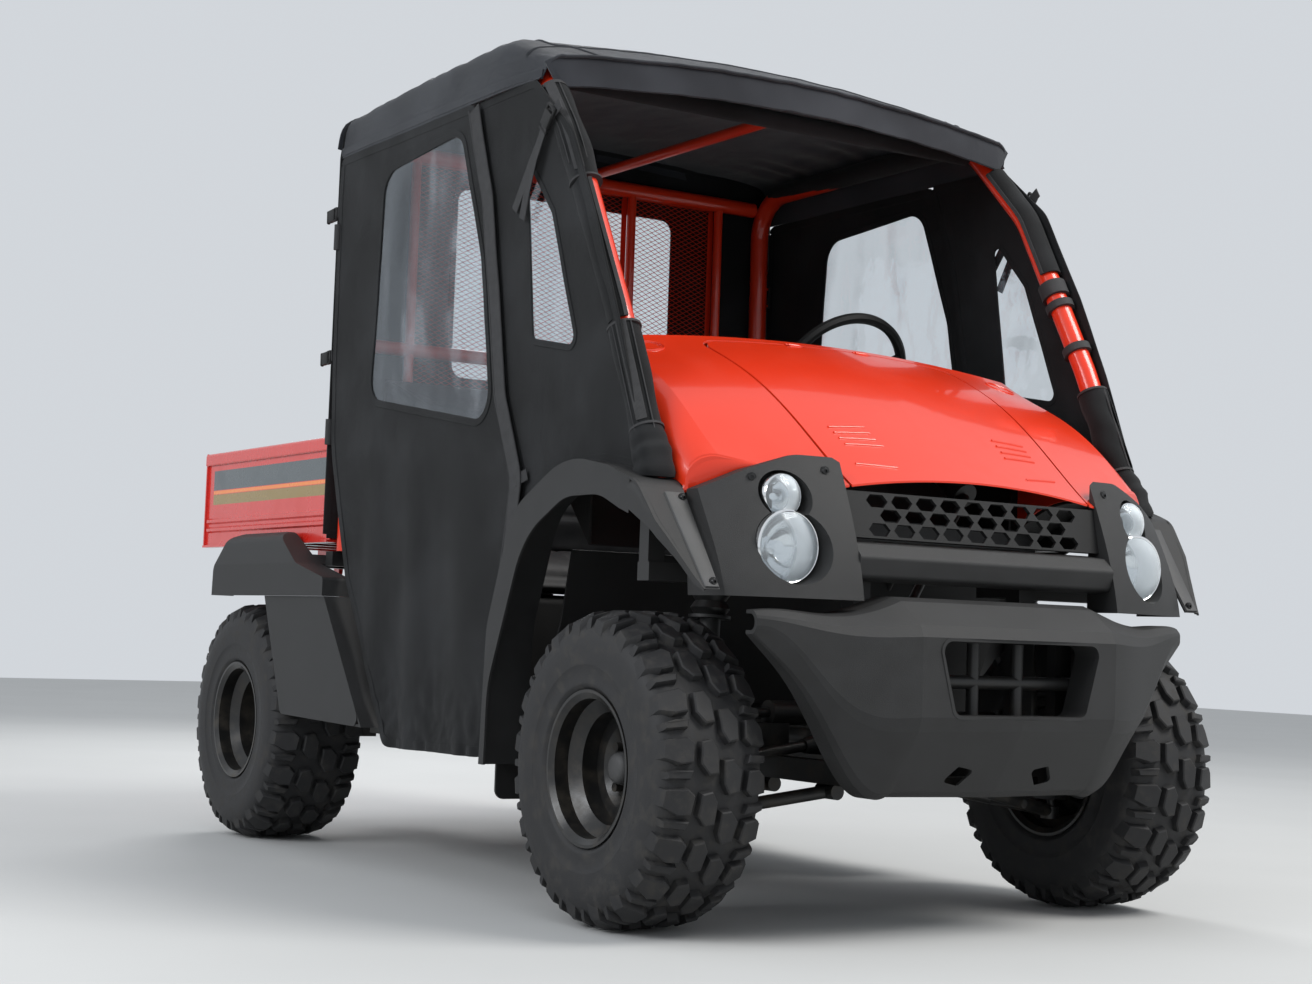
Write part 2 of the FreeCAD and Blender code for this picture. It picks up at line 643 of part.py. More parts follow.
def pedals():
    """Brake and accelerator hung from the toe board, and the gear lever on its gate."""
    parts = []
    for y, width in ((330, 70), (250, 46)):
        parts.append(box(532, 540, y - width / 2, y + width / 2, 470, 545))
        parts.append(bent_tube([V(538, y, 530), V(560, y, 600), V(626, y, 692)], 8, 30))
    knob = Part.makeSphere(20, V(470, 120, 1010))
    lever = fuse([knob, rod(V(470, 120, 1010), V(560, 120, 960), 7)])
    return apart(parts_joined(parts) + [lever])


def parts_joined(parts):
    """Fuse each pair of neighbouring entries of a list."""
    return [fuse(parts[index:index + 2]) for index in range(0, len(parts), 2)]


def seat_base():
    """Engine cover under the bench: front, sides and top."""
    front = slab("xz", [(SEAT_FRONT_X - 70, FLOOR_Z + 5 + SEAT_GAP), (SEAT_FRONT_X - 30, 640, 20),
                        (SEAT_REAR_X - 20, 640), (SEAT_REAR_X - 20, 635), (SEAT_FRONT_X - 38, 635, 16),
                        (SEAT_FRONT_X - 76, FLOOR_Z + 5 + SEAT_GAP)], -SILL_HALF, SILL_HALF)
    ends = []
    for side in (-1, 1):
        y = sorted([side * (SILL_HALF - 5), side * SILL_HALF])
        ends.append(slab("xz", [(SEAT_FRONT_X - 72, FLOOR_Z + 5 + SEAT_GAP), (SEAT_FRONT_X - 34, 638),
                                (SEAT_REAR_X - 20, 638), (SEAT_REAR_X - 20,
                                                          FLOOR_Z + 5 + SEAT_GAP)], y[0], y[1]))
    return fuse([front] + ends).cut(box(SEAT_REAR_X, SEAT_FRONT_X, -92, 92, FLOOR_Z, FLOOR_Z + 48))


def seat_cushion():
    return slab("xz", [(SEAT_REAR_X + 10, 640 + SEAT_GAP, 12), (SEAT_FRONT_X, 640 + SEAT_GAP, 20),
                       (SEAT_FRONT_X + 10, SEAT_TOP_Z, 45), (SEAT_REAR_X + 10, SEAT_TOP_Z - 20,
                                                             20)], -545, 545)


def seat_back():
    return slab("xz", [(SEAT_REAR_X + 16, SEAT_TOP_Z - 19.3, 10), (SEAT_REAR_X + 96, SEAT_TOP_Z - 15.6, 10),
                       (SEAT_REAR_X + 56, 1165, 30), (SEAT_REAR_X - 2, 1165, 20)], -545, 545)


def dash_panel():
    """Moulded dash, open underneath, with a hooded gauge pod."""
    front = HOOD_REAR_X - 30 - SEAT_GAP
    outer = slab("xz", [(front, 730), (560, 850, 40), (520, 1010, 40), (575, 1118, 40), (front, 1132)],
                 -SILL_HALF, SILL_HALF)
    inner = slab("xz", [(front + 9, 722), (568, 848, 36), (528, 1009, 36), (579, 1110, 36),
                        (front + 9, 1124)],
                 -SILL_HALF + 6, SILL_HALF - 6)
    shell = outer.cut(inner)
    pod = slab("yz", [(300, 1040), (300, 1168, 40), (480, 1168, 40), (480, 1040)], 560, 640)
    pod = pod.cut(slab("yz", [(306, 1030), (306, 1162, 34), (474, 1162, 34), (474, 1030)], 555, 630))
    column_hole = rod(WHEEL_CENTRE - column_axis() * 620, WHEEL_CENTRE - column_axis() * 60, 34)
    return fuse([shell, pod.cut(inner)]).cut(column_hole)


def side_points(y):
    """Centre line of one side of the cage, from foot to foot."""
    return [V(PILLAR_FOOT[0], y, PILLAR_SEAT_Z + SEAT_GAP), V(PILLAR_FOOT[0], y, PILLAR_FOOT[1]),
            V(PILLAR_KNEE[0], y, PILLAR_KNEE[1]),
            V(PILLAR_BEND[0], y, PILLAR_BEND[1]), V(ROOF_CORNER[0], y * 0.97, ROOF_CORNER[1]),
            V(CAGE_REAR_X, y * 0.97, ROOF_RAIL_Z - 12), V(CAGE_REAR_X, y * 0.98, DECK_Z + SEAT_GAP)]


def cage_sides():
    """Front pillar, roof rail and rear pillar in one bent tube a side."""
    points = side_points(CAB_HALF)
    bends = (60, 220, 260, 160, 110)
    pieces = []
    start = points[0]
    for index, bend in enumerate(bends):
        corner = points[index + 1]
        back = (points[index] - corner).normalize()
        ahead = (points[index + 2] - corner).normalize()
        half = back.getAngle(ahead) / 2
        reach = bend / math.tan(half)
        enter = corner + back * reach
        leave = corner + ahead * reach
        centre = corner + (back + ahead).normalize() * (bend / math.sin(half))
        ring = Part.Face(Part.Wire(Part.makeCircle(CAGE_R, enter, back)))
        pieces.append(rod(start, enter, CAGE_R))
        pieces.append(ring.revolve(centre, back.cross(ahead).normalize(), -(180 - math.degrees(2 * half))))
        start = leave
    pieces.append(rod(start, points[-1], CAGE_R))
    for z in DOOR_HINGE_ZS:
        for low in (z - 6 - HUB_GAP, z + 40 + HUB_GAP):
            pieces.append(box(DOOR_PIN_X - 3.3, DOOR_PIN_X + 4, CAB_HALF - 6, DOOR_PIN_Y + 4, low, low + 6))
        pieces.append(rod(V(DOOR_PIN_X, DOOR_PIN_Y, z - 5), V(DOOR_PIN_X, DOOR_PIN_Y, z + 45), DOOR_PIN_R))
    return pair(fuse(pieces))


def cage_rear_frame():
    """Cross tubes of the cage, the roof diagonals and the frame of the screen."""
    rail_y = CAB_HALF * 0.97
    roof = ROOF_RAIL_Z - 12
    reach = rail_y - CAGE_R - SEAT_GAP

    def pillar_reach(z):
        lean = CAB_HALF * 0.01 * (roof - z) / (roof - DECK_Z)
        return reach + lean
    top = V(CAGE_REAR_X, 0, roof - 30)
    pieces = [rod(V(CAGE_REAR_X, -reach, roof - 30), V(CAGE_REAR_X, reach, roof - 30), 20),
              rod(V(CAGE_REAR_X, -pillar_reach(1240), 1240), V(CAGE_REAR_X, pillar_reach(1240), 1240), 17),
              rod(V(CAGE_REAR_X, -pillar_reach(860), 860), V(CAGE_REAR_X, pillar_reach(860), 860), 17)]
    for y in (-455, -178, 178, 455):
        pieces.append(rod(V(CAGE_REAR_X, y, 860), V(CAGE_REAR_X, y, roof - 30), 12))
    front_y = rail_y - CAGE_R - SEAT_GAP
    front = V(ROOF_CORNER[0] + 28, 0, ROOF_CORNER[1] - 42)
    pieces.append(rod(front - V(0, front_y, 0), front + V(0, front_y, 0), 18))
    pieces.append(rod(top, front, 13))
    for y in (-1, 1):
        pieces.append(box(CAGE_REAR_X - 10, CAGE_REAR_X + 32, y * 40 - 18, y * 40 + 18, roof - 62, roof - 20))
    return fuse(pieces)


def rear_screen():
    """Three mesh sections hung behind the screen frame."""
    back = CAGE_REAR_X - 20 - SEAT_GAP
    return box(back - 3, back, -455, 455, 870, ROOF_RAIL_Z - 42)


def roof_section(x, half, hem, shoulder, crown, lean):
    """One cross section of the top: side drops, round shoulders and a crowned roof."""
    def at(y, z):
        return V(x + lean * (z - crown), y, z)
    knee = half - 42
    left = Part.makeLine(at(half, hem), at(half - 8, shoulder - 40))
    turn = Part.Arc(at(half - 8, shoulder - 40), at(half - 20, shoulder - 8),
                    at(knee - 12, shoulder + 6)).toShape()
    roof = Part.Arc(at(knee - 12, shoulder + 6), at(0, crown), at(12 - knee, shoulder + 6)).toShape()
    back = Part.Arc(at(12 - knee, shoulder + 6), at(20 - half, shoulder - 8),
                    at(8 - half, shoulder - 40)).toShape()
    right = Part.makeLine(at(8 - half, shoulder - 40), at(-half, hem))
    close = Part.makeLine(at(-half, hem), at(half, hem))
    return Part.Wire([left, turn, roof, back, right, close])


def soft_top():
    """Fabric roof with its side drops and the drooping front edge."""
    # station: x at the crown, half width, hem, shoulder, crown, forward lean
    rear = ((CAB_REAR_X - 8, ROOF_HALF, HEM_Z, 1806, 1840, 0), (330, ROOF_HALF + 2, HEM_Z, 1826, 1864, 0))
    front = (rear[1], (462, ROOF_HALF - 2, HEM_Z + 1, 1792, 1838, 0.2),
             (568, ROOF_HALF - 6, HEM_Z + 2, 1748, 1790, 0.45))
    shells = []
    for stations, ruled in ((rear, True), (front, False)):
        outer = []
        inner = []
        for x, half, hem, shoulder, crown, lean in stations:
            outer.append(roof_section(x, half, hem, shoulder, crown, lean))
            inner.append(roof_section(x, half - FABRIC, hem - 4, shoulder - FABRIC, crown - FABRIC, lean))
        shells.append((loft(outer, ruled), loft(inner, ruled)))
    top = shells[0][0].fuse(shells[1][0])
    hollow = shells[0][1].fuse(shells[1][1])
    nose = roof_section(572, ROOF_HALF - 6 - FABRIC, HEM_Z - 2, 1748 - FABRIC, 1790 - FABRIC, 0.45)
    tail = roof_section(CAB_REAR_X - 12, ROOF_HALF - FABRIC, HEM_Z - 4, 1806 - FABRIC, 1840 - FABRIC, 0)
    front_rim = roof_section(568, ROOF_HALF - 6 - FABRIC, HEM_Z - 2, 1748 - FABRIC, 1790 - FABRIC, 0.45)
    rear_rim = roof_section(CAB_REAR_X - 8, ROOF_HALF - FABRIC, HEM_Z - 4, 1806 - FABRIC, 1840 - FABRIC, 0)
    ends = [loft([front_rim, nose], True), loft([tail, rear_rim], True)]
    return top.cut(hollow).cut(ends[0]).cut(ends[1]).removeSplitter()


def rear_curtain():
    """Fabric back of the cab with its clear window cut out."""
    x0 = CAB_REAR_X - FABRIC
    crown = roof_section(x0, ROOF_HALF - FABRIC - SEAT_GAP, HEM_Z - 8, 1806 - FABRIC - SEAT_GAP,
                         1840 - FABRIC - SEAT_GAP, 0)
    panel = fuse([Part.Face(crown).extrude(V(FABRIC, 0, 0)),
                  box(x0, x0 + FABRIC, -FABRIC_Y, FABRIC_Y, 770, HEM_Z)])
    window = slab("yz", REAR_WINDOW, x0 - 1, CAB_REAR_X + 1)
    return panel.cut(window)


DOOR_OUTLINE = ((-440, 1688, 10), (252, 1688, 30), (338, 1472, 120), (432, 1034, 160), (520, 861, 60),
                (484, 690, 60),
                (442, 300, 40), (-50, 292, 60), (-122, 420, 30), (-300, 660, 60), (-425, 1010, 200), (-440,
                                                                                                      1400))
DOOR_WINDOW = ((-222, 1078, 60), (404, 980, 60), (330, 1350, 120), (210, 1650, 70), (-189, 1622, 70))
REAR_WINDOW = ((-330, 1180, 40), (330, 1180, 40), (330, 1680, 40), (-330, 1680, 40))
VENT_WINDOW = ((486, 1552, 18), (616, 1406, 22), (738, 1112, 22), (546, 1146, 22))


def door():
    """Left fabric door with its window cut out and its front zip bead."""
    panel = slab("xz", DOOR_OUTLINE, FABRIC_Y, FABRIC_Y + FABRIC)
    hole = slab("xz", DOOR_WINDOW, FABRIC_Y - 1, FABRIC_Y + FABRIC + 1)
    hinges = []
    for z in DOOR_HINGE_ZS:
        hinges.append(box(DOOR_PIN_X, -400, FABRIC_Y + 1, FABRIC_Y + FABRIC, z, z + 40))
        hinges.append(rod(V(DOOR_PIN_X, DOOR_PIN_Y, z), V(DOOR_PIN_X, DOOR_PIN_Y, z + 40), DOOR_PIN_R + 4))
    bore = rod(V(DOOR_PIN_X, DOOR_PIN_Y, 900), V(DOOR_PIN_X, DOOR_PIN_Y, 1700), DOOR_PIN_R + HUB_GAP)
    return fuse([panel.cut(hole)] + hinges).cut(bore)


def door_window():
    """Clear sheet let into the door."""
    inner = [(x, z, r) for x, z, r in DOOR_WINDOW]
    middle = FABRIC_Y + FABRIC / 2
    return slab("xz", inner, middle - VINYL / 2, middle + VINYL / 2)


def side_curtain():
    """Left fixed fabric between the pillar, the door and the fender, with the pillar sleeve."""
    y0 = CAB_HALF + CAGE_R + SEAT_GAP
    front = [(268, 1690), (516, 1690, 20), (672, 1560, 100), (790, 1350, 100), (880, 1160, 100), (1000, 872),
             (950, 886), (800, 910, 200), (578, 806, 120), (490, 562, 120), (479, 290), (456, 290, 10),
             (498, 690, 60), (534, 866, 60), (446, 1040, 100), (352, 1472, 100)]
    panel = slab("xz", front, y0, y0 + FABRIC)
    hole = slab("xz", VENT_WINDOW, y0 - 1, y0 + FABRIC + 1)
    return pair(panel.cut(hole))


def clear_windows():
    """Vent windows and the rear window."""
    y0 = CAB_HALF + CAGE_R + SEAT_GAP + FABRIC / 2
    vent = slab("xz", VENT_WINDOW, y0 - VINYL / 2, y0 + VINYL / 2)
    x0 = CAB_REAR_X - FABRIC / 2
    rear = slab("yz", REAR_WINDOW, x0 - VINYL / 2, x0 + VINYL / 2)
    return apart([vent, mirror(vent), rear])


# Front body

def nose_section(x, half, side_z, edge_y, edge_z, centre_z, inset):
    """One cross section of the nose, flat below, with rolled shoulders and a crowned top."""
    half -= inset
    edge_z -= inset
    centre_z -= inset
    edge_y -= inset / 2
    low = 760 - 2 * inset
    mid_y = (half + edge_y) / 2 + (half - edge_y) * 0.27
    mid_z = (side_z + edge_z) / 2 + (edge_z - side_z) * 0.22
    edges = [Part.makeLine(V(x, -half, low), V(x, half, low)),
             Part.makeLine(V(x, half, low), V(x, half, side_z)),
             Part.Arc(V(x, half, side_z), V(x, mid_y, mid_z), V(x, edge_y, edge_z)).toShape(),
             Part.Arc(V(x, edge_y, edge_z), V(x, 0, centre_z), V(x, -edge_y, edge_z)).toShape(),
             Part.Arc(V(x, -edge_y, edge_z), V(x, -mid_y, mid_z), V(x, -half, side_z)).toShape(),
             Part.makeLine(V(x, -half, side_z), V(x, -half, low))]
    return Part.Wire(edges)


# station: x, half width, z where the shoulder starts, shoulder y and z, crown z
NOSE_STATIONS = ((HOOD_REAR_X - 30, NOSE_HALF, 1040, NOSE_HALF - 64, 1160, 1192),
                 (815, NOSE_HALF, 975, NOSE_HALF - 54, 1085, 1130),
                 (940, NOSE_HALF, 880, NOSE_HALF - 49, 1012, 1058),
                 (1065, NOSE_HALF - 5, 800, NOSE_HALF - 54, 905, 968),
                 (HOOD_FRONT_X + 4, NOSE_HALF - 40, 775, NOSE_HALF - 114, 812, 872))


def nose_shell():
    outer = [nose_section(*station, 0) for station in NOSE_STATIONS]
    inner = [nose_section(*station, SKIN) for station in NOSE_STATIONS]
    first = nose_section(NOSE_STATIONS[0][0] - 2, *NOSE_STATIONS[0][1:], SKIN)
    last = nose_section(NOSE_STATIONS[-1][0] + 2, *NOSE_STATIONS[-1][1:], SKIN)
    inner[0] = first
    inner[-1] = last
    return loft(outer, False).cut(loft(inner, False))


def hood_plan(gap):
    """Prism over the hood's outline in plan."""
    rear = HOOD_REAR_X - gap
    points = [(rear, -HOOD_REAR_Y - gap, 40), (HOOD_FRONT_X + 20, -HOOD_FRONT_Y - gap),
              (HOOD_FRONT_X + 20, HOOD_FRONT_Y + gap), (rear, HOOD_REAR_Y + gap, 40)]
    return slab("xy", points, 700, 1300)


def hood(shell):
    """Lifting centre panel with its front lip."""
    panel = shell.common(hood_plan(0)).cut(box(1100, 1300, -400, 400, 700, 838))
    eyes = []
    slots = []
    for y0 in (-HOOD_HINGE_Y, HOOD_HINGE_Y):
        eyes.append(pipe(V(HOOD_PIN_X, y0 - 14, HOOD_PIN_Z), V(HOOD_PIN_X, y0 + 14, HOOD_PIN_Z), 5,
                         HOOD_PIN_R + HUB_GAP))
        eyes.append(box(HOOD_PIN_X + 3, HOOD_REAR_X + 8, y0 - 14, y0 + 14, HOOD_PIN_Z - 4, HOOD_PIN_Z - 1))
        for low in (y0 - 24, y0 + 14):
            slots.append(box(HOOD_REAR_X - 1, HOOD_REAR_X + 8, low, low + 10, HOOD_PIN_Z - 20,
                             HOOD_PIN_Z + 20))
    return fuse([panel.cut(apart(slots))] + eyes)


BEZEL_CUT = ((1300, BEZEL_Y), (1174, BEZEL_Y), (1138, LAMP_Y - 33), (1098, LAMP_Y + 52),
             (1046, NOSE_HALF + 20), (1046, FENDER_Y + 5), (1300, FENDER_Y + 5))


def front_cowl(shell):
    """Red wings and the band in front of the cab, round the hood."""
    cut = slab("xy", BEZEL_CUT, 600, 1300)
    cowl = shell.cut(hood_plan(HOOD_GAP)).cut(apart([cut, mirror(cut)]))
    cowl = cowl.cut(box(1100, 1300, -320, 320, 600, 836))
    under = slab("xz", fender_outline(0), -NOSE_HALF - 20, NOSE_HALF + 20)
    cowl = cowl.cut(under)
    cowl = cowl.common(box(600, 1300, -PILLAR_INNER, PILLAR_INNER, 700, 1300))
    lugs = []
    for y0 in (-HOOD_HINGE_Y, HOOD_HINGE_Y):
        cowl = cowl.cut(box(HOOD_PIN_X - 7, HOOD_PIN_X, y0 - 14 - HUB_GAP, y0 + 14 + HUB_GAP,
                            HOOD_PIN_Z - 20, HOOD_PIN_Z + 20))
        for low in (y0 - 20, y0 + 14 + HUB_GAP):
            lug = [(HOOD_PIN_X - 14, HOOD_PIN_Z - 7), (HOOD_PIN_X, HOOD_PIN_Z - 5),
                   (HOOD_PIN_X + 4, HOOD_PIN_Z),
                   (HOOD_PIN_X, HOOD_PIN_Z + 4), (HOOD_PIN_X - 14, HOOD_PIN_Z)]
            lugs.append(slab("xz", lug, low, low + 6 - HUB_GAP))
        lugs.append(rod(V(HOOD_PIN_X, y0 - 19, HOOD_PIN_Z), V(HOOD_PIN_X, y0 + 19, HOOD_PIN_Z), HOOD_PIN_R))
    return fuse([cowl] + lugs)


def above_bezel(drop):
    """Everything above the sloping top edge of the left lamp housing."""
    edge = [(300, 897 - drop), (LAMP_Y - 33, 899 - drop, 60), (LAMP_Y + 59, 866 - drop, 60),
            (NOSE_HALF + 36, 808 - drop), (NOSE_HALF + 36, 1000), (300, 1000)]
    return slab("yz", edge, 1000, 1300)


def bezel_section(z, inner_x, mid_x, outer_x, outer_y, inset, back):
    points = [V(inner_x - inset, BEZEL_Y + inset, z), V(mid_x - inset, LAMP_Y, z),
              V(outer_x - inset, outer_y - inset, z)]
    edges = [Part.Arc(*points).toShape(),
             Part.makeLine(points[2], V(back, outer_y - inset, z)),
             Part.makeLine(V(back, outer_y - inset, z), V(back, BEZEL_Y + inset, z)),
             Part.makeLine(V(back, BEZEL_Y + inset, z), points[0])]
    return Part.Wire(edges)


def headlight_bezel():
    """Left lamp housing: a bowed face with a double recess."""
    # level: z, x at the inner edge, at the lamps and at the outer edge, outer y
    levels = ((630, 1262, 1240, 1184, NOSE_HALF - 10), (724, 1240, 1214, 1150, NOSE_HALF - 5),
              (819, 1205, 1178, 1098, NOSE_HALF - 2), (905, 1168, 1136, 1054, NOSE_HALF - 4))
    back = 1030.0
    outer = loft([bezel_section(*level, 0, back) for level in levels], False)
    inner = loft([bezel_section(*level, SKIN, back - 2) for level in levels], False)
    inner.translate(V(0, 0, -2))
    core = inner.common(box(900, 1400, 300, FENDER_Y + 5, 620, 900)).cut(above_bezel(SKIN + 2))
    shell = outer.cut(above_bezel(0)).cut(core)
    cups = fuse([rod(V(1120, LAMP_Y, BIG_LAMP_Z), V(1300, LAMP_Y, BIG_LAMP_Z), BIG_LAMP_R + 10),
                 rod(V(1120, LAMP_Y, SMALL_LAMP_Z), V(1300, LAMP_Y, SMALL_LAMP_Z), SMALL_LAMP_R + 16)])
    cups = cups.common(outer).cut(above_bezel(0))
    holes = fuse([rod(V(1126, LAMP_Y, BIG_LAMP_Z), V(1310, LAMP_Y, BIG_LAMP_Z), BIG_LAMP_R + 4),
                  rod(V(1126, LAMP_Y, SMALL_LAMP_Z), V(1310, LAMP_Y, SMALL_LAMP_Z), SMALL_LAMP_R + 10)])
    front = slab("xy", BEZEL_CUT, 500, 1000)
    front.translate(V(1, 0.5, 0))
    return fuse([shell, cups]).cut(holes).common(front)


def headlamps():
    """Two round lamps a side, each a domed lens on its bowl."""
    lamps = []
    for z, radius, face in ((BIG_LAMP_Z, BIG_LAMP_R, 1186), (SMALL_LAMP_Z, SMALL_LAMP_R, 1160)):
        base = V(1126 + SEAT_GAP, LAMP_Y, z)
        bowl = Part.makeCone(radius * 0.55, radius, face - base.x, base, V(1, 0, 0))
        dome = Part.makeSphere(radius * 1.35, V(face - radius * 0.9, LAMP_Y, z))
        dome = dome.common(rod(V(face, LAMP_Y, z), V(face + 60, LAMP_Y, z), radius))
        lamps.append(fuse([bowl, dome]))
    both = apart(lamps)
    return apart([both, mirror(both)])


def grille():
    """Honeycomb grille with the bar below it."""
    depth = 8.0
    high = GRILLE_TOP_Z - GRILLE_LOW_Z
    panel = box(0, depth, -GRILLE_HALF, GRILLE_HALF, 0, high)
    holes = []
    cell_w = 60.0
    cell_h = 25.0
    for row in range(3):
        shift = cell_w * 0.5 * (row % 2)
        for column in range(-5, 6):
            y = column * cell_w + shift
            z = 17 + 28 * row
            if abs(y) > GRILLE_HALF - 64:
                continue
            hexagon = [(y - 26, z), (y - 15, z - cell_h / 2), (y + 15, z - cell_h / 2), (y + 26, z),
                       (y + 15, z + cell_h / 2), (y - 15, z + cell_h / 2)]
            holes.append(slab("yz", hexagon, -1, depth + 1))
    panel = panel.cut(Part.makeCompound(holes))
    panel.rotate(V(0, 0, 0), V(0, 1, 0), -12)
    panel.translate(V(1198, 0, GRILLE_LOW_Z))
    return panel


def grille_bar():
    """Wedge bar between the bezels under the grille."""
    profile = [(1184, 744), (1226, 738, 8), (1250, 712, 10), (1240, 672, 12), (1190, 668)]
    return slab("xz", profile, -GRILLE_HALF, GRILLE_HALF)


# y, top z, back x, top x, face x, face top z, face low z, bottom x, bottom z, bevel of the edges
BUMPER_STATIONS = ((0, BUMPER_TOP, 1190, 1262, 1348, 582, 410, 1262, 268, 14),
                   (240, BUMPER_TOP, 1190, 1260, 1340, 582, 408, 1254, 270, 14),
                   (BEZEL_Y - 18, 620, 1190, 1262, 1322, 578, 406, 1248, 282, 13),
                   (BEZEL_Y + 38, 607, 1190, 1256, 1300, 576, 424, 1244, 352, 11),
                   (LAMP_Y - 11, 606, 1192, 1242, 1270, 582, 500, 1236, 462, 7),
                   (NOSE_HALF - 52, 606, 1192, 1214, 1226, 594, 574, 1216, 562, 3))


def bumper_section(station, inset):
    """Closed section of the bumper across the vehicle's width, its front corners bevelled."""
    y, top, back, top_x, face_x, face_top, face_low, low_x, low, bevel = station
    corners = [V(back - inset, y, top - inset), V(back - inset, y, low + inset),
               V(low_x - inset / 2, y, low + inset),
               V(face_x - inset, y, face_low + inset / 2), V(face_x - inset, y, face_top - inset / 2),
               V(top_x - inset / 2, y, top - inset), V(back - inset, y, top - inset)]
    points = corners[:2]
    for before, corner, after in zip(corners[1:5], corners[2:6], corners[3:7]):
        points.append(corner + (before - corner).normalize() * bevel)
        points.append(corner + (after - corner).normalize() * bevel)
    return Part.makePolygon(points + points[:1])


def bumper():
    """Moulded bumper: raised middle, swept wings, a framed opening and two lower slots."""
    halves = []
    for first, last, ruled in ((0, 1, True), (1, 5, False)):
        stations = BUMPER_STATIONS[first:last + 1]
        outer = loft([bumper_section(station, 0) for station in stations], ruled)
        inner = loft([bumper_section(station, BUMPER_WALL) for station in stations], ruled)
        halves.append(outer.cut(inner))
    half = fuse(halves)
    whole = fuse([half, mirror(half)])
    opening = slab("yz", [(-166, 419, 22), (166, 419, 22), (206, 568, 24), (-206, 568, 24)], 1200, 1400)
    slots = []
    for side in (-1, 1):
        tilt = slab("yz", [(side * 70, 322, 6), (side * 96, 292, 6), (side * 136, 300, 6),
                           (side * 112, 330, 6)], 1200, 1400)
        slots.append(tilt)
    recess = slab("yz", [(-166, 419, 22), (166, 419, 22), (206, 568, 24), (-206, 568, 24)], 1276, 1343)
    ring = recess.cut(slab("yz", [(-160, 425, 18), (160, 425, 18), (199, 562, 20), (-199, 562, 20)], 1270,
                           1350))
    return fuse([whole.cut(opening), ring]).cut(apart(slots))


def fender_outline(inset):
    """Outer edge of the front overfender, seen from the side, closed below."""
    return [(488 + inset, 280), (500 + inset, 560, 160), (590 + inset, 795 - inset, 140),
            (800, 896 - inset, 260),
            (960, 868 - inset, 150), (1046, 838 - inset, 60), (1192 - inset, 634, 30), (1192 - inset, 280)]


def front_fender():
    """Left overfender: a rolled band round the wheel opening."""
    outer = slab("xz", fender_outline(0), PILLAR_INNER + SEAT_GAP, FENDER_Y)
    inner = slab("xz", fender_outline(SKIN), NOSE_HALF, FENDER_Y - SKIN)
    arch = slab("xz", [(508, 200), (512, 440, 200), (640, 740, 200), (800, 815, 150), (930, 815, 150),
                       (1090, 752, 100),
                       (1172, 645, 30), (1172, 200)], NOSE_HALF, FENDER_Y + 1)
    low = box(1150, 1300, NOSE_HALF, FENDER_Y + 1, 200, 640)
    shape = outer.cut(inner).cut(arch).cut(low)
    nib = slab("xy", [(1000, FENDER_Y + 1), (1400, FENDER_Y + 1), (1400, FENDER_Y - 75), (1192, FENDER_Y - 75),
                      (1100, FENDER_Y - 19)], 200, 1000)
    shape = shape.cut(nib)
    pillar = rod(V(PILLAR_FOOT[0], CAB_HALF, 640), V(PILLAR_FOOT[0], CAB_HALF, 900), CAGE_R + 4)
    return shape.cut(pillar)


def mud_flap():
    """Left rubber flap behind the front wheel, with its hanger."""
    face = 444 + SEAT_GAP
    return slab("yz", [(462, 205, 20), (632, 205, 20), (632, 366), (462, 366)], face, face + 6)


def side_cover():
    """Left flat cover between the door and the rear wheel."""
    face = slab("xz", [(-565, 330, 20), (-92, 322, 20), (-330, 619), (-700, 619)], FENDER_Y - 6, FENDER_Y)
    step_y = SILL_HALF + 18
    step = slab("xz", [(-92, 322), (-330, 619), (-336, 615), (-100, 322)], step_y, FENDER_Y - 2)
    under = slab("xz", [(-555, 330), (-98, 322), (-98, 328), (-555, 336)], step_y, FENDER_Y - 2)
    return fuse([face, step, under])


def rear_fender():
    """Left rear fender: a rounded cover over the tyre, low where it runs under the bed."""
    def profile(inset, floor):
        return [(-1060 + inset, floor), (-1056 + inset, 690, 30), (-985, 782 - inset, 60),
                (-660, 782 - inset, 80),
                (-500, 700 - inset, 80), (-330 - inset, 664 - inset, 10), (-330 - inset, floor)]
    lip_y = BED_HALF + 8 + MOVE_GAP + 1
    under_bed = box(-1100, -300, 470, lip_y + 1, BED_FLOOR_Z - 40 - MOVE_GAP - 1, 900)
    def bevel(inset):
        edge = FENDER_Y + 5 - inset
        return slab("yz", [(edge - 52, 800), (edge - 52, 783 - inset), (edge - 14, 768 - inset, 30),
                           (edge, 700, 40),
                           (edge + 2, 660), (edge + 20, 660), (edge + 20, 800)], -1100, -300)
    outer = slab("xz", profile(0, 619 + SEAT_GAP), 480, FENDER_Y + 5).cut(bevel(0))
    inner = slab("xz", profile(SKIN, 600), 470, FENDER_Y).cut(bevel(SKIN))
    lid = box(-1000, -640, 480, lip_y + SKIN, FENDER_LID_Z - SKIN, FENDER_LID_Z).common(outer)
    wall = box(-1000, -560, lip_y, lip_y + SKIN, FENDER_LID_Z - SKIN, 790).common(outer)
    crown = outer.cut(inner).cut(box(-1100, -300, 470, lip_y, FENDER_LID_Z, 900))
    tail = box(-1100, -1000, 470, BED_HALF + 19, 600, 800)
    cab = box(-500, -300, 470, CAB_HALF + 20, 600, 800)
    return fuse([crown, lid, wall]).cut(tail).cut(cab).cut(under_bed.common(box(-1100, -300, 470, lip_y, 725,
                                                                                900)))


# Cargo bed

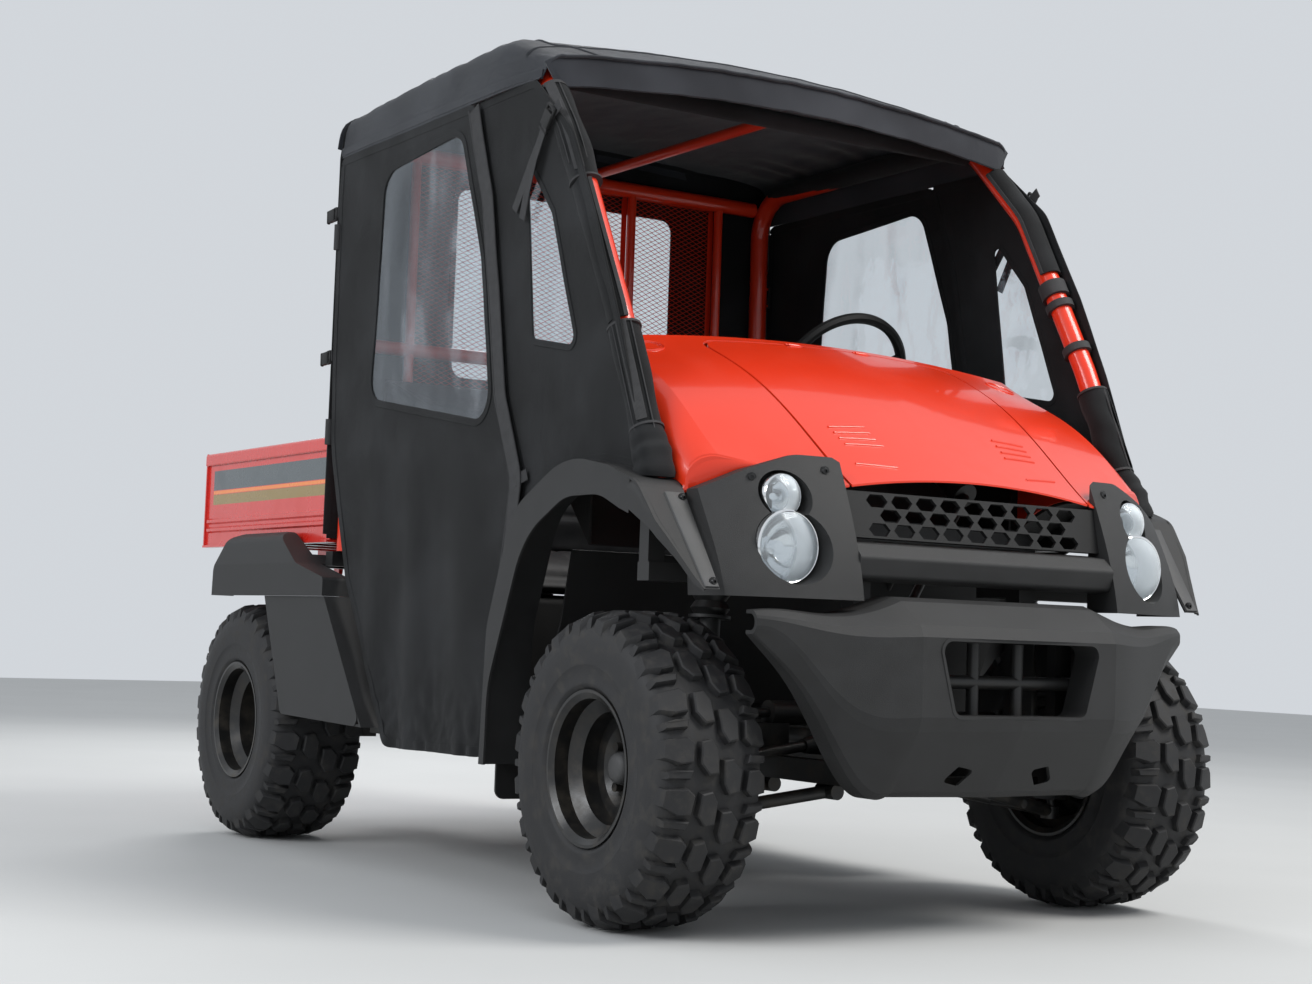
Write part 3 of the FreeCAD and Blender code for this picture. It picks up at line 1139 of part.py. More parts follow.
def bed_tray():
    """Bed floor, front wall, floor runners and the pivot lugs."""
    y = BED_HALF - BED_WALL
    floor = box(BED_REAR_X + 8, BED_FRONT_X, -y, y, BED_FLOOR_Z, BED_FLOOR_Z + BED_WALL)
    front = box(BED_FRONT_X - BED_WALL, BED_FRONT_X, -y, y, BED_FLOOR_Z, BED_TOP_Z)
    rail = box(BED_FRONT_X - BED_RAIL, BED_FRONT_X, -y, y, BED_TOP_Z - BED_RAIL, BED_TOP_Z)
    runners = {}
    for side in (-1, 1):
        run_y = side * (RAIL_Y + 60)
        runners[side] = (box(BED_REAR_X + 20, BED_FRONT_X, run_y - 20, run_y + 20, BED_FLOOR_Z - 40,
                             BED_FLOOR_Z))
    ribs = []
    for rib_x in (-640, -810, -980, -1150):
        ribs.append(box(rib_x - 20, rib_x + 20, -y, y, BED_FLOOR_Z - 16, BED_FLOOR_Z))
    pivots = []
    for side in (-1, 1):
        pivot_y = side * (RAIL_Y + 60)
        lug = slab("xz", [(BED_PIVOT_X - 26, BED_FLOOR_Z), (BED_PIVOT_X - 16, BED_PIVOT_Z - 52, 14),
                          (BED_PIVOT_X + 16, BED_PIVOT_Z - 52, 14), (BED_PIVOT_X + 26, BED_FLOOR_Z)],
                   pivot_y - 6, pivot_y + 6)
        bore = rod(V(BED_PIVOT_X, pivot_y - 20, BED_PIVOT_Z), V(BED_PIVOT_X, pivot_y + 20, BED_PIVOT_Z),
                   BED_PIN_R + HUB_GAP)
        pivots.append(lug.cut(bore))
        runners[side] = runners[side].cut(bore)
    for y0 in (-GATE_HINGE_Y, GATE_HINGE_Y):
        for low in (y0 - 20, y0 + 12 + HUB_GAP):
            lug = [(BED_REAR_X + 16, 774), (BED_REAR_X + 16, 750), (GATE_PIN_X, 750), (GATE_PIN_X - 9, 755),
                   (GATE_PIN_X - 9, 765), (GATE_PIN_X, 769.5), (BED_REAR_X + 2, 770), (BED_REAR_X + 9, 774)]
            pivots.append(slab("xz", lug, low, low + 8 - HUB_GAP))
        pivots.append(rod(V(GATE_PIN_X, y0 - 19, GATE_PIN_Z), V(GATE_PIN_X, y0 + 19, GATE_PIN_Z), GATE_PIN_R))
    return fuse([floor, front, rail] + list(runners.values()) + ribs + pivots)


def bed_side():
    """Left bed wall with its top rail, two pressed beads and a lower flange."""
    y1 = BED_HALF
    y0 = BED_HALF - BED_WALL
    wall = box(BED_REAR_X, BED_FRONT_X, y0, y1, BED_FLOOR_Z - 14, BED_TOP_Z)
    rail = slab("yz", [(y0 - 22, BED_TOP_Z - BED_RAIL, 4), (y1 + 8, BED_TOP_Z - BED_RAIL, 4),
                       (y1 + 8, BED_TOP_Z, 8),
                       (y0 - 22, BED_TOP_Z, 8)], BED_REAR_X, BED_FRONT_X)
    beads = []
    for z in (802, 826):
        beads.append(slab("yz", [(y1 - 1, z - 9), (y1 + 6, z - 4), (y1 + 6, z + 4), (y1 - 1, z + 9)],
                          BED_REAR_X + 20, BED_FRONT_X - 20))
    flange = box(BED_REAR_X, BED_FRONT_X, y0 - 16, y1 + 8, BED_FLOOR_Z - 18, BED_FLOOR_Z - 12)
    post = box(BED_REAR_X, BED_REAR_X + 6, y0 - 30, y1 + 6, BED_FLOOR_Z - 14, BED_TOP_Z)
    return fuse([wall, rail, flange, post] + beads)


def tailgate():
    """Drop gate with a folded top, pressed panels and its hinge knuckles."""
    y = BED_HALF - 4
    face = BED_REAR_X - MOVE_GAP
    panel = box(face - 5, face, -y, y, BED_FLOOR_Z, BED_TOP_Z - 4)
    top = box(face - 24, face, -y, y, BED_TOP_Z - 26, BED_TOP_Z - 4)
    ribs = []
    for z in (812, 900):
        ribs.append(box(face - 12, face - 4, -y + 40, y - 40, z, z + 30))
    for y0 in (-GATE_HINGE_Y, GATE_HINGE_Y):
        eye = pipe(V(GATE_PIN_X, y0 - 12, GATE_PIN_Z), V(GATE_PIN_X, y0 + 12, GATE_PIN_Z), 9,
                   GATE_PIN_R + HUB_GAP)
        ribs.append(eye)
        ribs.append(box(GATE_PIN_X + 1, GATE_PIN_X + 6, y0 - 12, y0 + 12, GATE_PIN_Z + 6, BED_FLOOR_Z + 4))
    return fuse([panel, top] + ribs)


def tail_lamps():
    """Red lamp blocks on the frame's rear member."""
    block = slab("yz", [(RAIL_Y - 40, 585, 8), (RAIL_Y + 30, 585, 8), (RAIL_Y + 30, 645, 8),
                        (RAIL_Y - 40, 645, 8)],
                 FRAME_REAR_X - 30, FRAME_REAR_X - SEAT_GAP)
    return pair(block)


def hitch():
    """Flat drawbar plate with a ball hole."""
    plate = slab("xy", [(FRAME_REAR_X + 60, -60, 6), (FRAME_REAR_X + 60, 60, 6), (FRAME_REAR_X - 90, 45, 30),
                        (FRAME_REAR_X - 90, -45, 30)], 288, 300)
    hole = rod(V(HITCH_HOLE_X, 0, 280), V(HITCH_HOLE_X, 0, 310), HITCH_HOLE_R)
    web = box(FRAME_REAR_X - SEAT_GAP - 8, FRAME_REAR_X - SEAT_GAP, -70, 70, 288, 326)
    return fuse([plate.cut(box(FRAME_REAR_X - SEAT_GAP, FRAME_REAR_X + 100, -100, 100, 200, 400)),
                 web]).cut(hole)


def muffler():
    """Silencer across the rear with its tail pipe."""
    x = -1120.0
    z = 520.0
    body = rod(V(x, -170, z), V(x, 170, z), 70)
    outlet = rod(V(x, 110, z), V(x - 136, 110, z - 2), 18)
    feed = rod(V(x, -100, z), V(ENGINE_REAR_X - SEAT_GAP, -100, z), 20)
    hangers = [box(x - 8, x + 8, y - 6, y + 6, z + 60, DECK_Z - DECK_H - SEAT_GAP) for y in (-150, 150)]
    return fuse([body, feed, outlet] + hangers)


def export(name, shape):
    """Write one node and print its size."""
    if not shape.isValid():
        print("not valid:", name)
    shape.exportStep("parts/%s.step" % name)
    count = len(shape.tessellate(1.0)[1])
    extent = shape.BoundBox
    print("%-18s solids %2d faces %4d tri %5d" % (name, len(shape.Solids), len(shape.Faces), count), end="")
    print("  x %6.0f %6.0f y %6.0f %6.0f" % (extent.XMin, extent.XMax, extent.YMin, extent.YMax), end="")
    print(" z %6.0f %6.0f" % (extent.ZMin, extent.ZMax))
    return count


def main():
    os.makedirs("parts", exist_ok=True)
    shell = nose_shell()
    nodes = {
        "chassis_frame": chassis_frame(),
        "front_tower": front_tower(),
        "deck_frame": deck_frame(),
        "bumper_guard": bumper_guard(),
        "skid_plate": skid_plate(),
        "engine_block": engine_block(),
        "rear_axle": rear_axle(),
        "rear_springs": rear_springs(),
        "front_arms": front_arms(),
        "drive_shafts": drive_shafts(),
        "steering_column": steering_column(),
        "steering_rack": steering_rack(),
        "steering_wheel": steering_wheel(),
        "floor_pan": floor_pan(),
        "pedals": pedals().cut(floor_pan()),
        "seat_base": seat_base(),
        "seat_cushion": seat_cushion(),
        "seat_back": seat_back(),
        "dash_panel": dash_panel(),
        "cage_sides": cage_sides(),
        "cage_rear_frame": cage_rear_frame(),
        "rear_screen": rear_screen(),
        "soft_top": soft_top(),
        "rear_curtain": rear_curtain(),
        "side_curtains": side_curtain(),
        "clear_windows": clear_windows(),
        "hood": hood(shell),
        "front_cowl": front_cowl(shell),
        "headlight_bezels": pair(headlight_bezel()),
        "headlamps": headlamps(),
        "grille": grille(),
        "grille_bar": grille_bar(),
        "bumper": bumper(),
        "front_fenders": pair(front_fender()),
        "mud_flaps": pair(mud_flap()),
        "side_covers": pair(side_cover()),
        "rear_fenders": pair(rear_fender()),
        "bed_tray": bed_tray(),
        "bed_sides": pair(bed_side()).cut(bed_tray()),
        "tailgate": tailgate(),
        "tail_lamps": tail_lamps(),
        "hitch": hitch(),
        "muffler": muffler(),
    }
    for word, side in (("right", -1), ("left", 1)):
        turn = mirror if side < 0 else (lambda shape: shape)
        front = V(FRONT_AXLE_X, side * FRONT_HALF_TRACK, AXLE_Z)
        rear = V(REAR_AXLE_X, side * REAR_HALF_TRACK, AXLE_Z)
        nodes["door_" + word] = turn(door())
        nodes["door_window_" + word] = turn(door_window())
        nodes["knuckle_" + word] = turn(knuckle())
        nodes["tyre_front_" + word] = tyre(front, FRONT_TYRE_W)
        nodes["rim_front_" + word] = rim(front, FRONT_TYRE_W, side)
        nodes["tyre_rear_" + word] = tyre(rear, REAR_TYRE_W)
        nodes["rim_rear_" + word] = rim(rear, REAR_TYRE_W, side)
    total = 0
    for name, shape in nodes.items():
        total += export(name, shape)
    print("nodes", len(nodes), "triangles at 1 mm", total)


main()
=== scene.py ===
import math
import bmesh
import bpy
from mathutils import Matrix, Vector, noise
from mathutils.bvhtree import BVHTree


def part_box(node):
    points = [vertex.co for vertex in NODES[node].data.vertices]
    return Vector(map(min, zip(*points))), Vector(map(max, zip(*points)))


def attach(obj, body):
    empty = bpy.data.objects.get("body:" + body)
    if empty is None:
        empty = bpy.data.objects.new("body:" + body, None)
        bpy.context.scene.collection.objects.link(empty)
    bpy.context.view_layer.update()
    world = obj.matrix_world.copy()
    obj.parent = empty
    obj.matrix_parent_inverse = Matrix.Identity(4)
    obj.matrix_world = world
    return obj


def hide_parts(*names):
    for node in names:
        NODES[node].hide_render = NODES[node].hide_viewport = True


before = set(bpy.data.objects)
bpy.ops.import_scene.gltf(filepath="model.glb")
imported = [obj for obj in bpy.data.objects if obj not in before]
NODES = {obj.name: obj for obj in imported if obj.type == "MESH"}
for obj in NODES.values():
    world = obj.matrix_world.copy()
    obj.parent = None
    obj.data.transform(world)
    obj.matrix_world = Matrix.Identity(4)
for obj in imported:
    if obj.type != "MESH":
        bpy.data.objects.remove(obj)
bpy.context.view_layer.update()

MM = 0.001
TURN = 2 * math.pi

# Places taken from the frame's drawing, in metres
PILLAR_PATH = ((0.992, 0.800), (0.992, 0.868, 0.06), (0.846, 1.180, 0.22), (0.640, 1.552, 0.26),
               (0.442, 1.768, 0.16),
               (-0.425, 1.762))
PILLAR_Y = 0.612
PILLAR_R = 0.024
RAIL_Y = 0.5936
RAIL_Z = 1.7665
HEAD_TUBE_X = 0.470
HEAD_TUBE_Z = 1.726
DOOR_OUTLINE = ((-0.440, 1.688, 0.01), (0.252, 1.688, 0.03), (0.338, 1.472, 0.12), (0.432, 1.034, 0.16),
                (0.520, 0.861, 0.06), (0.484, 0.690, 0.06), (0.442, 0.300, 0.04), (-0.050, 0.292, 0.06),
                (-0.122, 0.420, 0.03), (-0.300, 0.660, 0.06), (-0.425, 1.010, 0.20), (-0.440, 1.400))
DOOR_WINDOW = ((-0.222, 1.078, 0.06), (0.404, 0.980, 0.06), (0.330, 1.350, 0.12), (0.210, 1.650, 0.07),
               (-0.189, 1.622, 0.07))
CURTAIN_OUTLINE = ((0.268, 1.690), (0.516, 1.690, 0.02), (0.672, 1.560, 0.10), (0.790, 1.350, 0.10),
                   (0.880, 1.160, 0.10), (1.000, 0.860), (0.950, 0.876), (0.800, 0.901, 0.26),
                   (0.582, 0.803, 0.14),
                   (0.490, 0.562, 0.12), (0.479, 0.290), (0.456, 0.290, 0.01), (0.498, 0.690, 0.06),
                   (0.534, 0.866, 0.06), (0.446, 1.040, 0.10), (0.352, 1.472, 0.10))
VENT_WINDOW = ((0.486, 1.552, 0.018), (0.616, 1.406, 0.022), (0.738, 1.112, 0.022), (0.546, 1.146, 0.022))
REAR_WINDOW = ((-0.33, 1.18, 0.04), (0.33, 1.18, 0.04), (0.33, 1.68, 0.04), (-0.33, 1.68, 0.04))
DOOR_Y = 0.6445
CURTAIN_Y = 0.6388
REAR_CURTAIN_X = -0.4518
HINGE_X = -0.446
HINGE_Y = 0.650
HINGE_ZS = (1.000, 1.480)
SIDES = (("right", -1), ("left", 1))

# Sizes of the pieces, in metres
TREAD_TOP = 0.300
FRONT_TYRE_WIDTH = 0.232
REAR_TYRE_WIDTH = 0.252
LAMP_Y = 0.441
CLOTH_WALL = 0.0018
FILM_WALL = 0.0008
STRAP_WIDTH = 0.025
THREAD_PITCH = 0.0011


# Shader helpers

class Value:
    """A shader socket; arithmetic on it adds Math nodes."""

    def __init__(self, look, socket):
        self.look = look
        self.socket = socket

    def math(self, operation, other=None):
        sockets = {0: self} if other is None else {0: self, 1: other}
        return self.look.add("ShaderNodeMath", {"operation": operation}, sockets)

    def __add__(self, other):
        return self.math("ADD", other)

    __radd__ = __add__

    def __mul__(self, other):
        return self.math("MULTIPLY", other)

    __rmul__ = __mul__

    def __sub__(self, other):
        return self.math("SUBTRACT", other)

    def __rsub__(self, other):
        return self.math("MULTIPLY", -1.0) + other

    def __pow__(self, other):
        return self.math("POWER", other)

    def __abs__(self):
        return self.math("ABSOLUTE")

    def sine(self):
        return self.math("SINE")

    def lower(self, other):
        return self.math("MINIMUM", other)

    def between(self, low, high):
        """0 at low, 1 at high, smooth in between."""
        return self.look.add("ShaderNodeMapRange", {"interpolation_type": "SMOOTHSTEP"},
                             {0: self, 1: low, 2: high})


class Look:
    """One material: nodes are added to it, and dress() closes it with its shader."""

    def __init__(self, name):
        self.material = bpy.data.materials.new(name)
        self.material.use_nodes = True
        self.tree = self.material.node_tree
        self.tree.nodes.clear()
        self.place = self.add("ShaderNodeTexCoord", output="Object")
        self.axes = None

    def add(self, kind, settings=None, sockets=None, output=0):
        node = self.tree.nodes.new(kind)
        for name, value in (settings or {}).items():
            setattr(node, name, value)
        for name, value in (sockets or {}).items():
            if isinstance(value, Value):
                self.tree.links.new(value.socket, node.inputs[name])
            else:
                node.inputs[name].default_value = value
        return Value(self, node.outputs[output])

    def axis(self, name):
        """X, Y or Z of the place on the part, in metres."""
        if self.axes is None:
            split = self.add("ShaderNodeSeparateXYZ", sockets={0: self.place})
            self.axes = split.socket.node
        return Value(self, self.axes.outputs[name])

    def grain(self, scale, detail=2.0, roughness=0.5, stretch=None):
        """Noise from 0 to 1 with so many cells to the metre."""
        place = self.place
        if stretch:
            place = self.add("ShaderNodeMapping", sockets={"Vector": place, "Scale": stretch})
        return self.add("ShaderNodeTexNoise", sockets={"Vector": place, "Scale": scale, "Detail": detail,
                                                       "Roughness": roughness})

    def cells(self, scale, feature="F1"):
        return self.add("ShaderNodeTexVoronoi", {"feature": feature}, {"Vector": self.place, "Scale": scale})

    def mix(self, factor, first, second):
        """Colour between two colours."""
        return self.add("ShaderNodeMix", {"data_type": "RGBA"}, {0: factor, 6: first, 7: second}, output=2)

    def bump(self, height, depth, strength):
        return self.add("ShaderNodeBump", sockets={"Height": height, "Distance": depth, "Strength": strength})

    def shader(self, **sockets):
        named = {name.replace("_", " "): value for name, value in sockets.items()}
        return self.add("ShaderNodeBsdfPrincipled", sockets=named, output="BSDF")

    def close(self, surface):
        node = self.tree.nodes.new("ShaderNodeOutputMaterial")
        self.tree.links.new(surface.socket, node.inputs["Surface"])
        return self.material

    def dress(self, **sockets):
        return self.close(self.shader(**sockets))


def grey(level):
    return (level, level, level, 1.0)


# Materials

def red_paint(name):
    look = Look(name)
    peel = look.grain(900.0, 1.0)
    dust = look.grain(9.0, 4.0).between(0.45, 0.8)
    colour = look.mix(dust * 0.10, (0.70, 0.032, 0.006, 1), (0.60, 0.054, 0.020, 1))
    return look.dress(Base_Color=colour, Roughness=0.30 + dust * 0.10, Coat_Weight=0.55, Coat_Roughness=0.06,
                      Specular_IOR_Level=0.35, Normal=look.bump(peel, 0.00012, 0.4))


def grained_plastic(name, level, rough=0.58, depth=0.00035):
    look = Look(name)
    pits = look.cells(1100.0)
    cloud = look.grain(14.0, 4.0)
    scuff = look.grain(55.0, 5.0, 0.6, (1, 1, 3)).between(0.62, 0.8)
    light = (level * 1.5, level * 1.5, level * 1.55, 1)
    colour = look.mix(cloud.between(0.3, 0.75) * 0.5 + scuff * 0.25, grey(level), light)
    return look.dress(Base_Color=colour, Roughness=rough + cloud * 0.12 - pits * 0.1, Specular_IOR_Level=0.32,
                      Normal=look.bump(pits, depth, 0.7))


def frame_coat(name, level, rough=0.42):
    look = Look(name)
    orange_peel = look.grain(420.0, 2.0)
    dust = look.grain(22.0, 5.0, 0.6).between(0.42, 0.75)
    low = 1 - look.axis("Z").between(0.15, 0.65)
    soil = dust * low * 0.55
    colour = look.mix(soil, grey(level), (0.075, 0.062, 0.046, 1))
    return look.dress(Base_Color=colour, Roughness=rough + soil * 0.4, Specular_IOR_Level=0.5,
                      Normal=look.bump(orange_peel, 0.0003, 0.4))


def woven_cloth(name, dark, light, sheen):
    """Coated polyester: a fine plain weave, a soft crease pattern and dusty patches."""
    look = Look(name)
    turns = TURN / THREAD_PITCH
    x, y, z = (look.axis(letter) for letter in "XYZ")
    across = ((x + y) * turns).sine()
    along = ((z + (x - y) * 0.35) * turns).sine()
    weave = across * along
    creases = look.grain(26.0, 5.0, 0.55, (1, 1, 0.45))
    fade = look.grain(5.0, 3.0).between(0.35, 0.75)
    colour = look.mix(fade * 0.7 + weave * 0.12, dark, light)
    height = weave * 0.10 + creases
    return look.dress(Base_Color=colour, Roughness=0.82 - fade * 0.08, Specular_IOR_Level=0.20,
                      Sheen_Weight=sheen, Sheen_Roughness=0.4, Normal=look.bump(height, 0.004, 0.55))


def clear_film(name, tint):
    """Clear vinyl: seen through, with a wavy gloss on both faces."""
    look = Look(name)
    waves = look.grain(5.0, 2.0, 0.45, (1, 1, 0.45))
    ripple = look.grain(30.0, 2.0)
    normal = look.bump(waves + ripple * 0.06, 0.012, 0.8)
    turned = look.add("ShaderNodeLayerWeight", sockets={"Blend": 0.5, "Normal": normal}, output="Facing")
    gloss = turned ** 4.0 * 0.6 + 0.050
    streaks = look.grain(3.2, 2.5, 0.5, (1.8, 1, 0.45)).between(0.50, 0.60)
    streaks = streaks * look.grain(7.0, 2.0).between(0.35, 0.6)
    film = look.shader(Base_Color=tint, Metallic=1.0, Roughness=0.05, Normal=normal)
    through = look.add("ShaderNodeBsdfTransparent", sockets={"Color": (0.92, 0.94, 0.95, 1)})
    factor = (gloss + streaks * 0.13).lower(0.95)
    return look.close(look.add("ShaderNodeMixShader", sockets={0: factor, 1: through, 2: film}))


def tyre_rubber(name):
    """Rubber with fine grain and dust."""
    look = Look(name)
    fine = look.grain(700.0, 3.0)
    dust = look.grain(34.0, 6.0, 0.65).between(0.46, 0.72)
    colour = look.mix(dust * 0.5, (0.013, 0.013, 0.014, 1), (0.060, 0.056, 0.050, 1))
    return look.dress(Base_Color=colour, Roughness=0.62 + dust * 0.25, Specular_IOR_Level=0.45,
                      Normal=look.bump(fine + dust * 0.6, 0.0006, 0.6))


def mirror_bowl(name):
    look = Look(name)
    smudge = look.grain(60.0, 3.0)
    return look.dress(Base_Color=(0.90, 0.91, 0.92, 1), Metallic=1.0, Roughness=0.06 + smudge * 0.08)


def lens_clear(name):
    look = Look(name)
    speck = look.grain(180.0, 3.0)
    gloss = look.add("ShaderNodeFresnel", sockets={"IOR": 1.55})
    skin = look.shader(Base_Color=(0.92, 0.95, 0.97, 1), Roughness=0.03 + speck * 0.04,
                       Specular_IOR_Level=1.0)
    through = look.add("ShaderNodeBsdfTransparent", sockets={"Color": (0.95, 0.97, 0.98, 1)})
    factor = (gloss * 1.6 + 0.06).lower(0.9)
    return look.close(look.add("ShaderNodeMixShader", sockets={0: factor, 1: through, 2: skin}))


def seat_cover(name):
    look = Look(name)
    leather = look.cells(420.0, "DISTANCE_TO_EDGE").between(0.0, 0.35)
    cloud = look.grain(16.0, 4.0)
    colour = look.mix(cloud.between(0.3, 0.7), (0.022, 0.022, 0.024, 1), (0.042, 0.041, 0.042, 1))
    return look.dress(Base_Color=colour, Roughness=0.50 + cloud * 0.15, Specular_IOR_Level=0.5,
                      Normal=look.bump(leather, 0.0005, 0.5))


# low and high edge of each band on the bed, and its colour
BED_BANDS = ((0.912, 0.965, (0.050, 0.066, 0.072, 1)), (0.9015, 0.9095, (0.85, 0.22, 0.02, 1)),
             (0.872, 0.899, (0.26, 0.17, 0.030, 1)))


def bed_paint(name):
    """Red bed enamel with the slate panel, its thin orange line and the olive band on the outer walls."""
    look = Look(name)
    x, y, z = (look.axis(letter) for letter in "XYZ")
    outside = abs(y).between(0.6195, 0.6202)
    lengthwise = x.between(-1.292, -1.290) * (1 - x.between(-0.505, -0.503))
    dust = look.grain(11.0, 5.0, 0.6).between(0.4, 0.8)
    peel = look.grain(800.0, 1.0)
    base = look.mix(dust * 0.2, (0.62, 0.020, 0.012, 1), (0.47, 0.055, 0.032, 1))
    for low, high, colour in BED_BANDS:
        band = z.between(low - MM, low) * (1 - z.between(high, high + MM)) * outside * lengthwise
        base = look.mix(band, base, colour)
    return look.dress(Base_Color=base, Roughness=0.26 + dust * 0.16, Coat_Weight=0.6, Coat_Roughness=0.08,
                      Normal=look.bump(peel, 0.00012, 0.4))


def strap_web(name):
    look = Look(name)
    ribs = ((look.axis("Z") + look.axis("X") * 0.4) * (TURN / 0.0022)).sine()
    cloud = look.grain(60.0, 3.0)
    colour = look.mix(cloud, (0.016, 0.016, 0.017, 1), (0.040, 0.040, 0.042, 1))
    return look.dress(Base_Color=colour, Roughness=0.75, Normal=look.bump(ribs, 0.0006, 0.6))


def red_lamp_glass(name):
    look = Look(name)
    ribs = (look.axis("Y") * (TURN / 0.004)).sine()
    return look.dress(Base_Color=(0.42, 0.008, 0.006, 1), Roughness=0.12, Coat_Weight=1.0,
                      Normal=look.bump(ribs, 0.0005, 0.5))


LOOKS = {
    "red_steel": red_paint("red_enamel_tube"),
    "red_plastic": red_paint("red_gloss_panel"),
    "black_plastic": grained_plastic("black_moulding", 0.012),
    "grey_plastic": grained_plastic("dark_grey_moulding", 0.022, 0.52, 0.0005),
    "frame_black": frame_coat("black_frame_coat", 0.012),
    "engine_metal": frame_coat("engine_grey", 0.060, 0.5),
    "spring_steel": frame_coat("spring_black", 0.018, 0.35),
    "rim_black": frame_coat("rim_black_enamel", 0.010, 0.28),
    "tyre": tyre_rubber("tyre_rubber"),
    "canopy_fabric": woven_cloth("roof_cloth", (0.018, 0.020, 0.025, 1), (0.040, 0.044, 0.053, 1), 0.25),
    "side_fabric": woven_cloth("side_cloth", (0.007, 0.0075, 0.008, 1), (0.020, 0.021, 0.023, 1), 0.08),
    "clear_vinyl": clear_film("clear_window_film", (0.84, 0.88, 0.93, 1)),
    "seat_vinyl": seat_cover("seat_cover_vinyl"),
    "bed_red": bed_paint("bed_enamel"),
    "chrome": mirror_bowl("lamp_mirror"),
    "lens": lens_clear("lamp_glass"),
    "webbing": strap_web("strap_webbing"),
    "cap_grey": grained_plastic("hub_cap_grey", 0.055, 0.5),
    "strip_grey": grained_plastic("trim_strip_grey", 0.062, 0.5, 0.0004),
    "red_lens": red_lamp_glass("tail_lamp_red"),
}

NODE_LOOKS = {
    "frame_black": ("chassis_frame", "front_tower", "deck_frame", "bumper_guard", "rear_axle", "front_arms",
                    "drive_shafts", "steering_column", "steering_rack", "knuckle_right", "knuckle_left",
                    "pedals", "hitch", "muffler"),
    "spring_steel": ("rear_springs",),
    "engine_metal": ("engine_block",),
    "black_plastic": ("skid_plate", "floor_pan", "seat_base", "dash_panel", "grille", "mud_flaps",
                      "steering_wheel"),
    "grey_plastic": ("headlight_bezels", "grille_bar", "bumper", "front_fenders", "side_covers",
                     "rear_fenders"),
    "red_plastic": ("front_cowl", "hood"),
    "red_steel": ("cage_sides", "cage_rear_frame", "rear_screen"),
    "bed_red": ("bed_tray", "bed_sides", "tailgate"),
    "rim_black": ("rim_front_right", "rim_front_left", "rim_rear_right", "rim_rear_left"),
    "tyre": ("tyre_front_right", "tyre_front_left", "tyre_rear_right", "tyre_rear_left"),
    "canopy_fabric": ("soft_top",),
    "side_fabric": ("rear_curtain", "side_curtains", "door_right", "door_left"),
    "clear_vinyl": ("clear_windows", "door_window_right", "door_window_left"),
    "seat_vinyl": ("seat_cushion", "seat_back"),
    "chrome": ("headlamps",),
    "red_lens": ("tail_lamps",),
}


for look_name, node_names in NODE_LOOKS.items():
    for node_name in node_names:
        node = NODES[node_name]
        node.data.materials.clear()
        node.data.materials.append(LOOKS[look_name])


# Mesh helpers

def rounded(points, step=0.006):
    """Points along a closed polygon whose third numbers are corner radii."""
    line = []
    count = len(points)
    for index, point in enumerate(points):
        here = Vector(point[:2])
        radius = point[2] if len(point) > 2 else 0.0
        if radius == 0.0:
            line.append(here)
            continue
        back = (Vector(points[index - 1][:2]) - here).normalized()
        ahead = (Vector(points[(index + 1) % count][:2]) - here).normalized()
        half = back.angle(ahead) / 2
        reach = radius / math.tan(half)
        centre = here + (back + ahead).normalized() * (radius / math.sin(half))
        first = here + back * reach - centre
        sweep = first.angle_signed(here + ahead * reach - centre)
        turns = max(3, round(abs(sweep) * radius / step))
        for turn in range(turns + 1):
            line.append(centre + Matrix.Rotation(-sweep * turn / turns, 2) @ first)
    return line


def open_path(points, step=0.01):
    """Points along an open line with rounded corners, evenly spaced."""
    closed = rounded([points[0][:2]] + list(points[1:-1]) + [points[-1][:2]], step)
    return evenly(closed, step)


def evenly(line, step):
    """The same line cut in equal steps."""
    lengths = [0.0]
    for first, second in zip(line, line[1:]):
        lengths.append(lengths[-1] + (second - first).length)
    count = max(2, round(lengths[-1] / step))
    result = []
    at = 0
    for index in range(count + 1):
        goal = lengths[-1] * index / count
        while at < len(line) - 2 and lengths[at + 1] < goal:
            at += 1
        span = max(lengths[at + 1] - lengths[at], 1e-9)
        result.append(line[at].lerp(line[at + 1], min(1.0, (goal - lengths[at]) / span)))
    return result


def flat_area(line):
    return abs(sum(a.x * b.y - b.x * a.y for a, b in zip(line, line[1:] + line[:1]))) / 2


def is_inside(line, spot):
    """Whether a spot is inside a closed line."""
    inside = False
    for a, b in zip(line, line[1:] + line[:1]):
        if (a.y > spot.y) != (b.y > spot.y) and spot.x < (b.x - a.x) * (spot.y - a.y) / (b.y - a.y) + a.x:
            inside = not inside
    return inside


def nearest_on(line, spot):
    """Gap to a closed line, and the place on it."""
    best = None
    for a, b in zip(line, line[1:] + line[:1]):
        along = b - a
        share = max(0.0, min(1.0, (spot - a).dot(along) / max(along.length_squared, 1e-12)))
        near = a + along * share
        gap = (spot - near).length
        if best is None or gap < best[0]:
            best = (gap, near)
    return best


def piece(name, mesh, body, look, smooth=40):
    """Object from a bmesh, riding on its body; its slot holds its look."""
    data = bpy.data.meshes.new(name)
    mesh.to_mesh(data)
    mesh.free()
    made = bpy.data.objects.new(name, data)
    bpy.context.scene.collection.objects.link(made)
    data.materials.append(LOOKS[look])
    if smooth:
        data.shade_smooth()
        data.set_sharp_from_angle(angle=math.radians(smooth))
    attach(made, body)
    return made


def mended(mesh):
    """Doubles merged and faces turned outwards."""
    bmesh.ops.remove_doubles(mesh, verts=mesh.verts, dist=1e-6)
    bmesh.ops.recalc_face_normals(mesh, faces=mesh.faces)
    return mesh


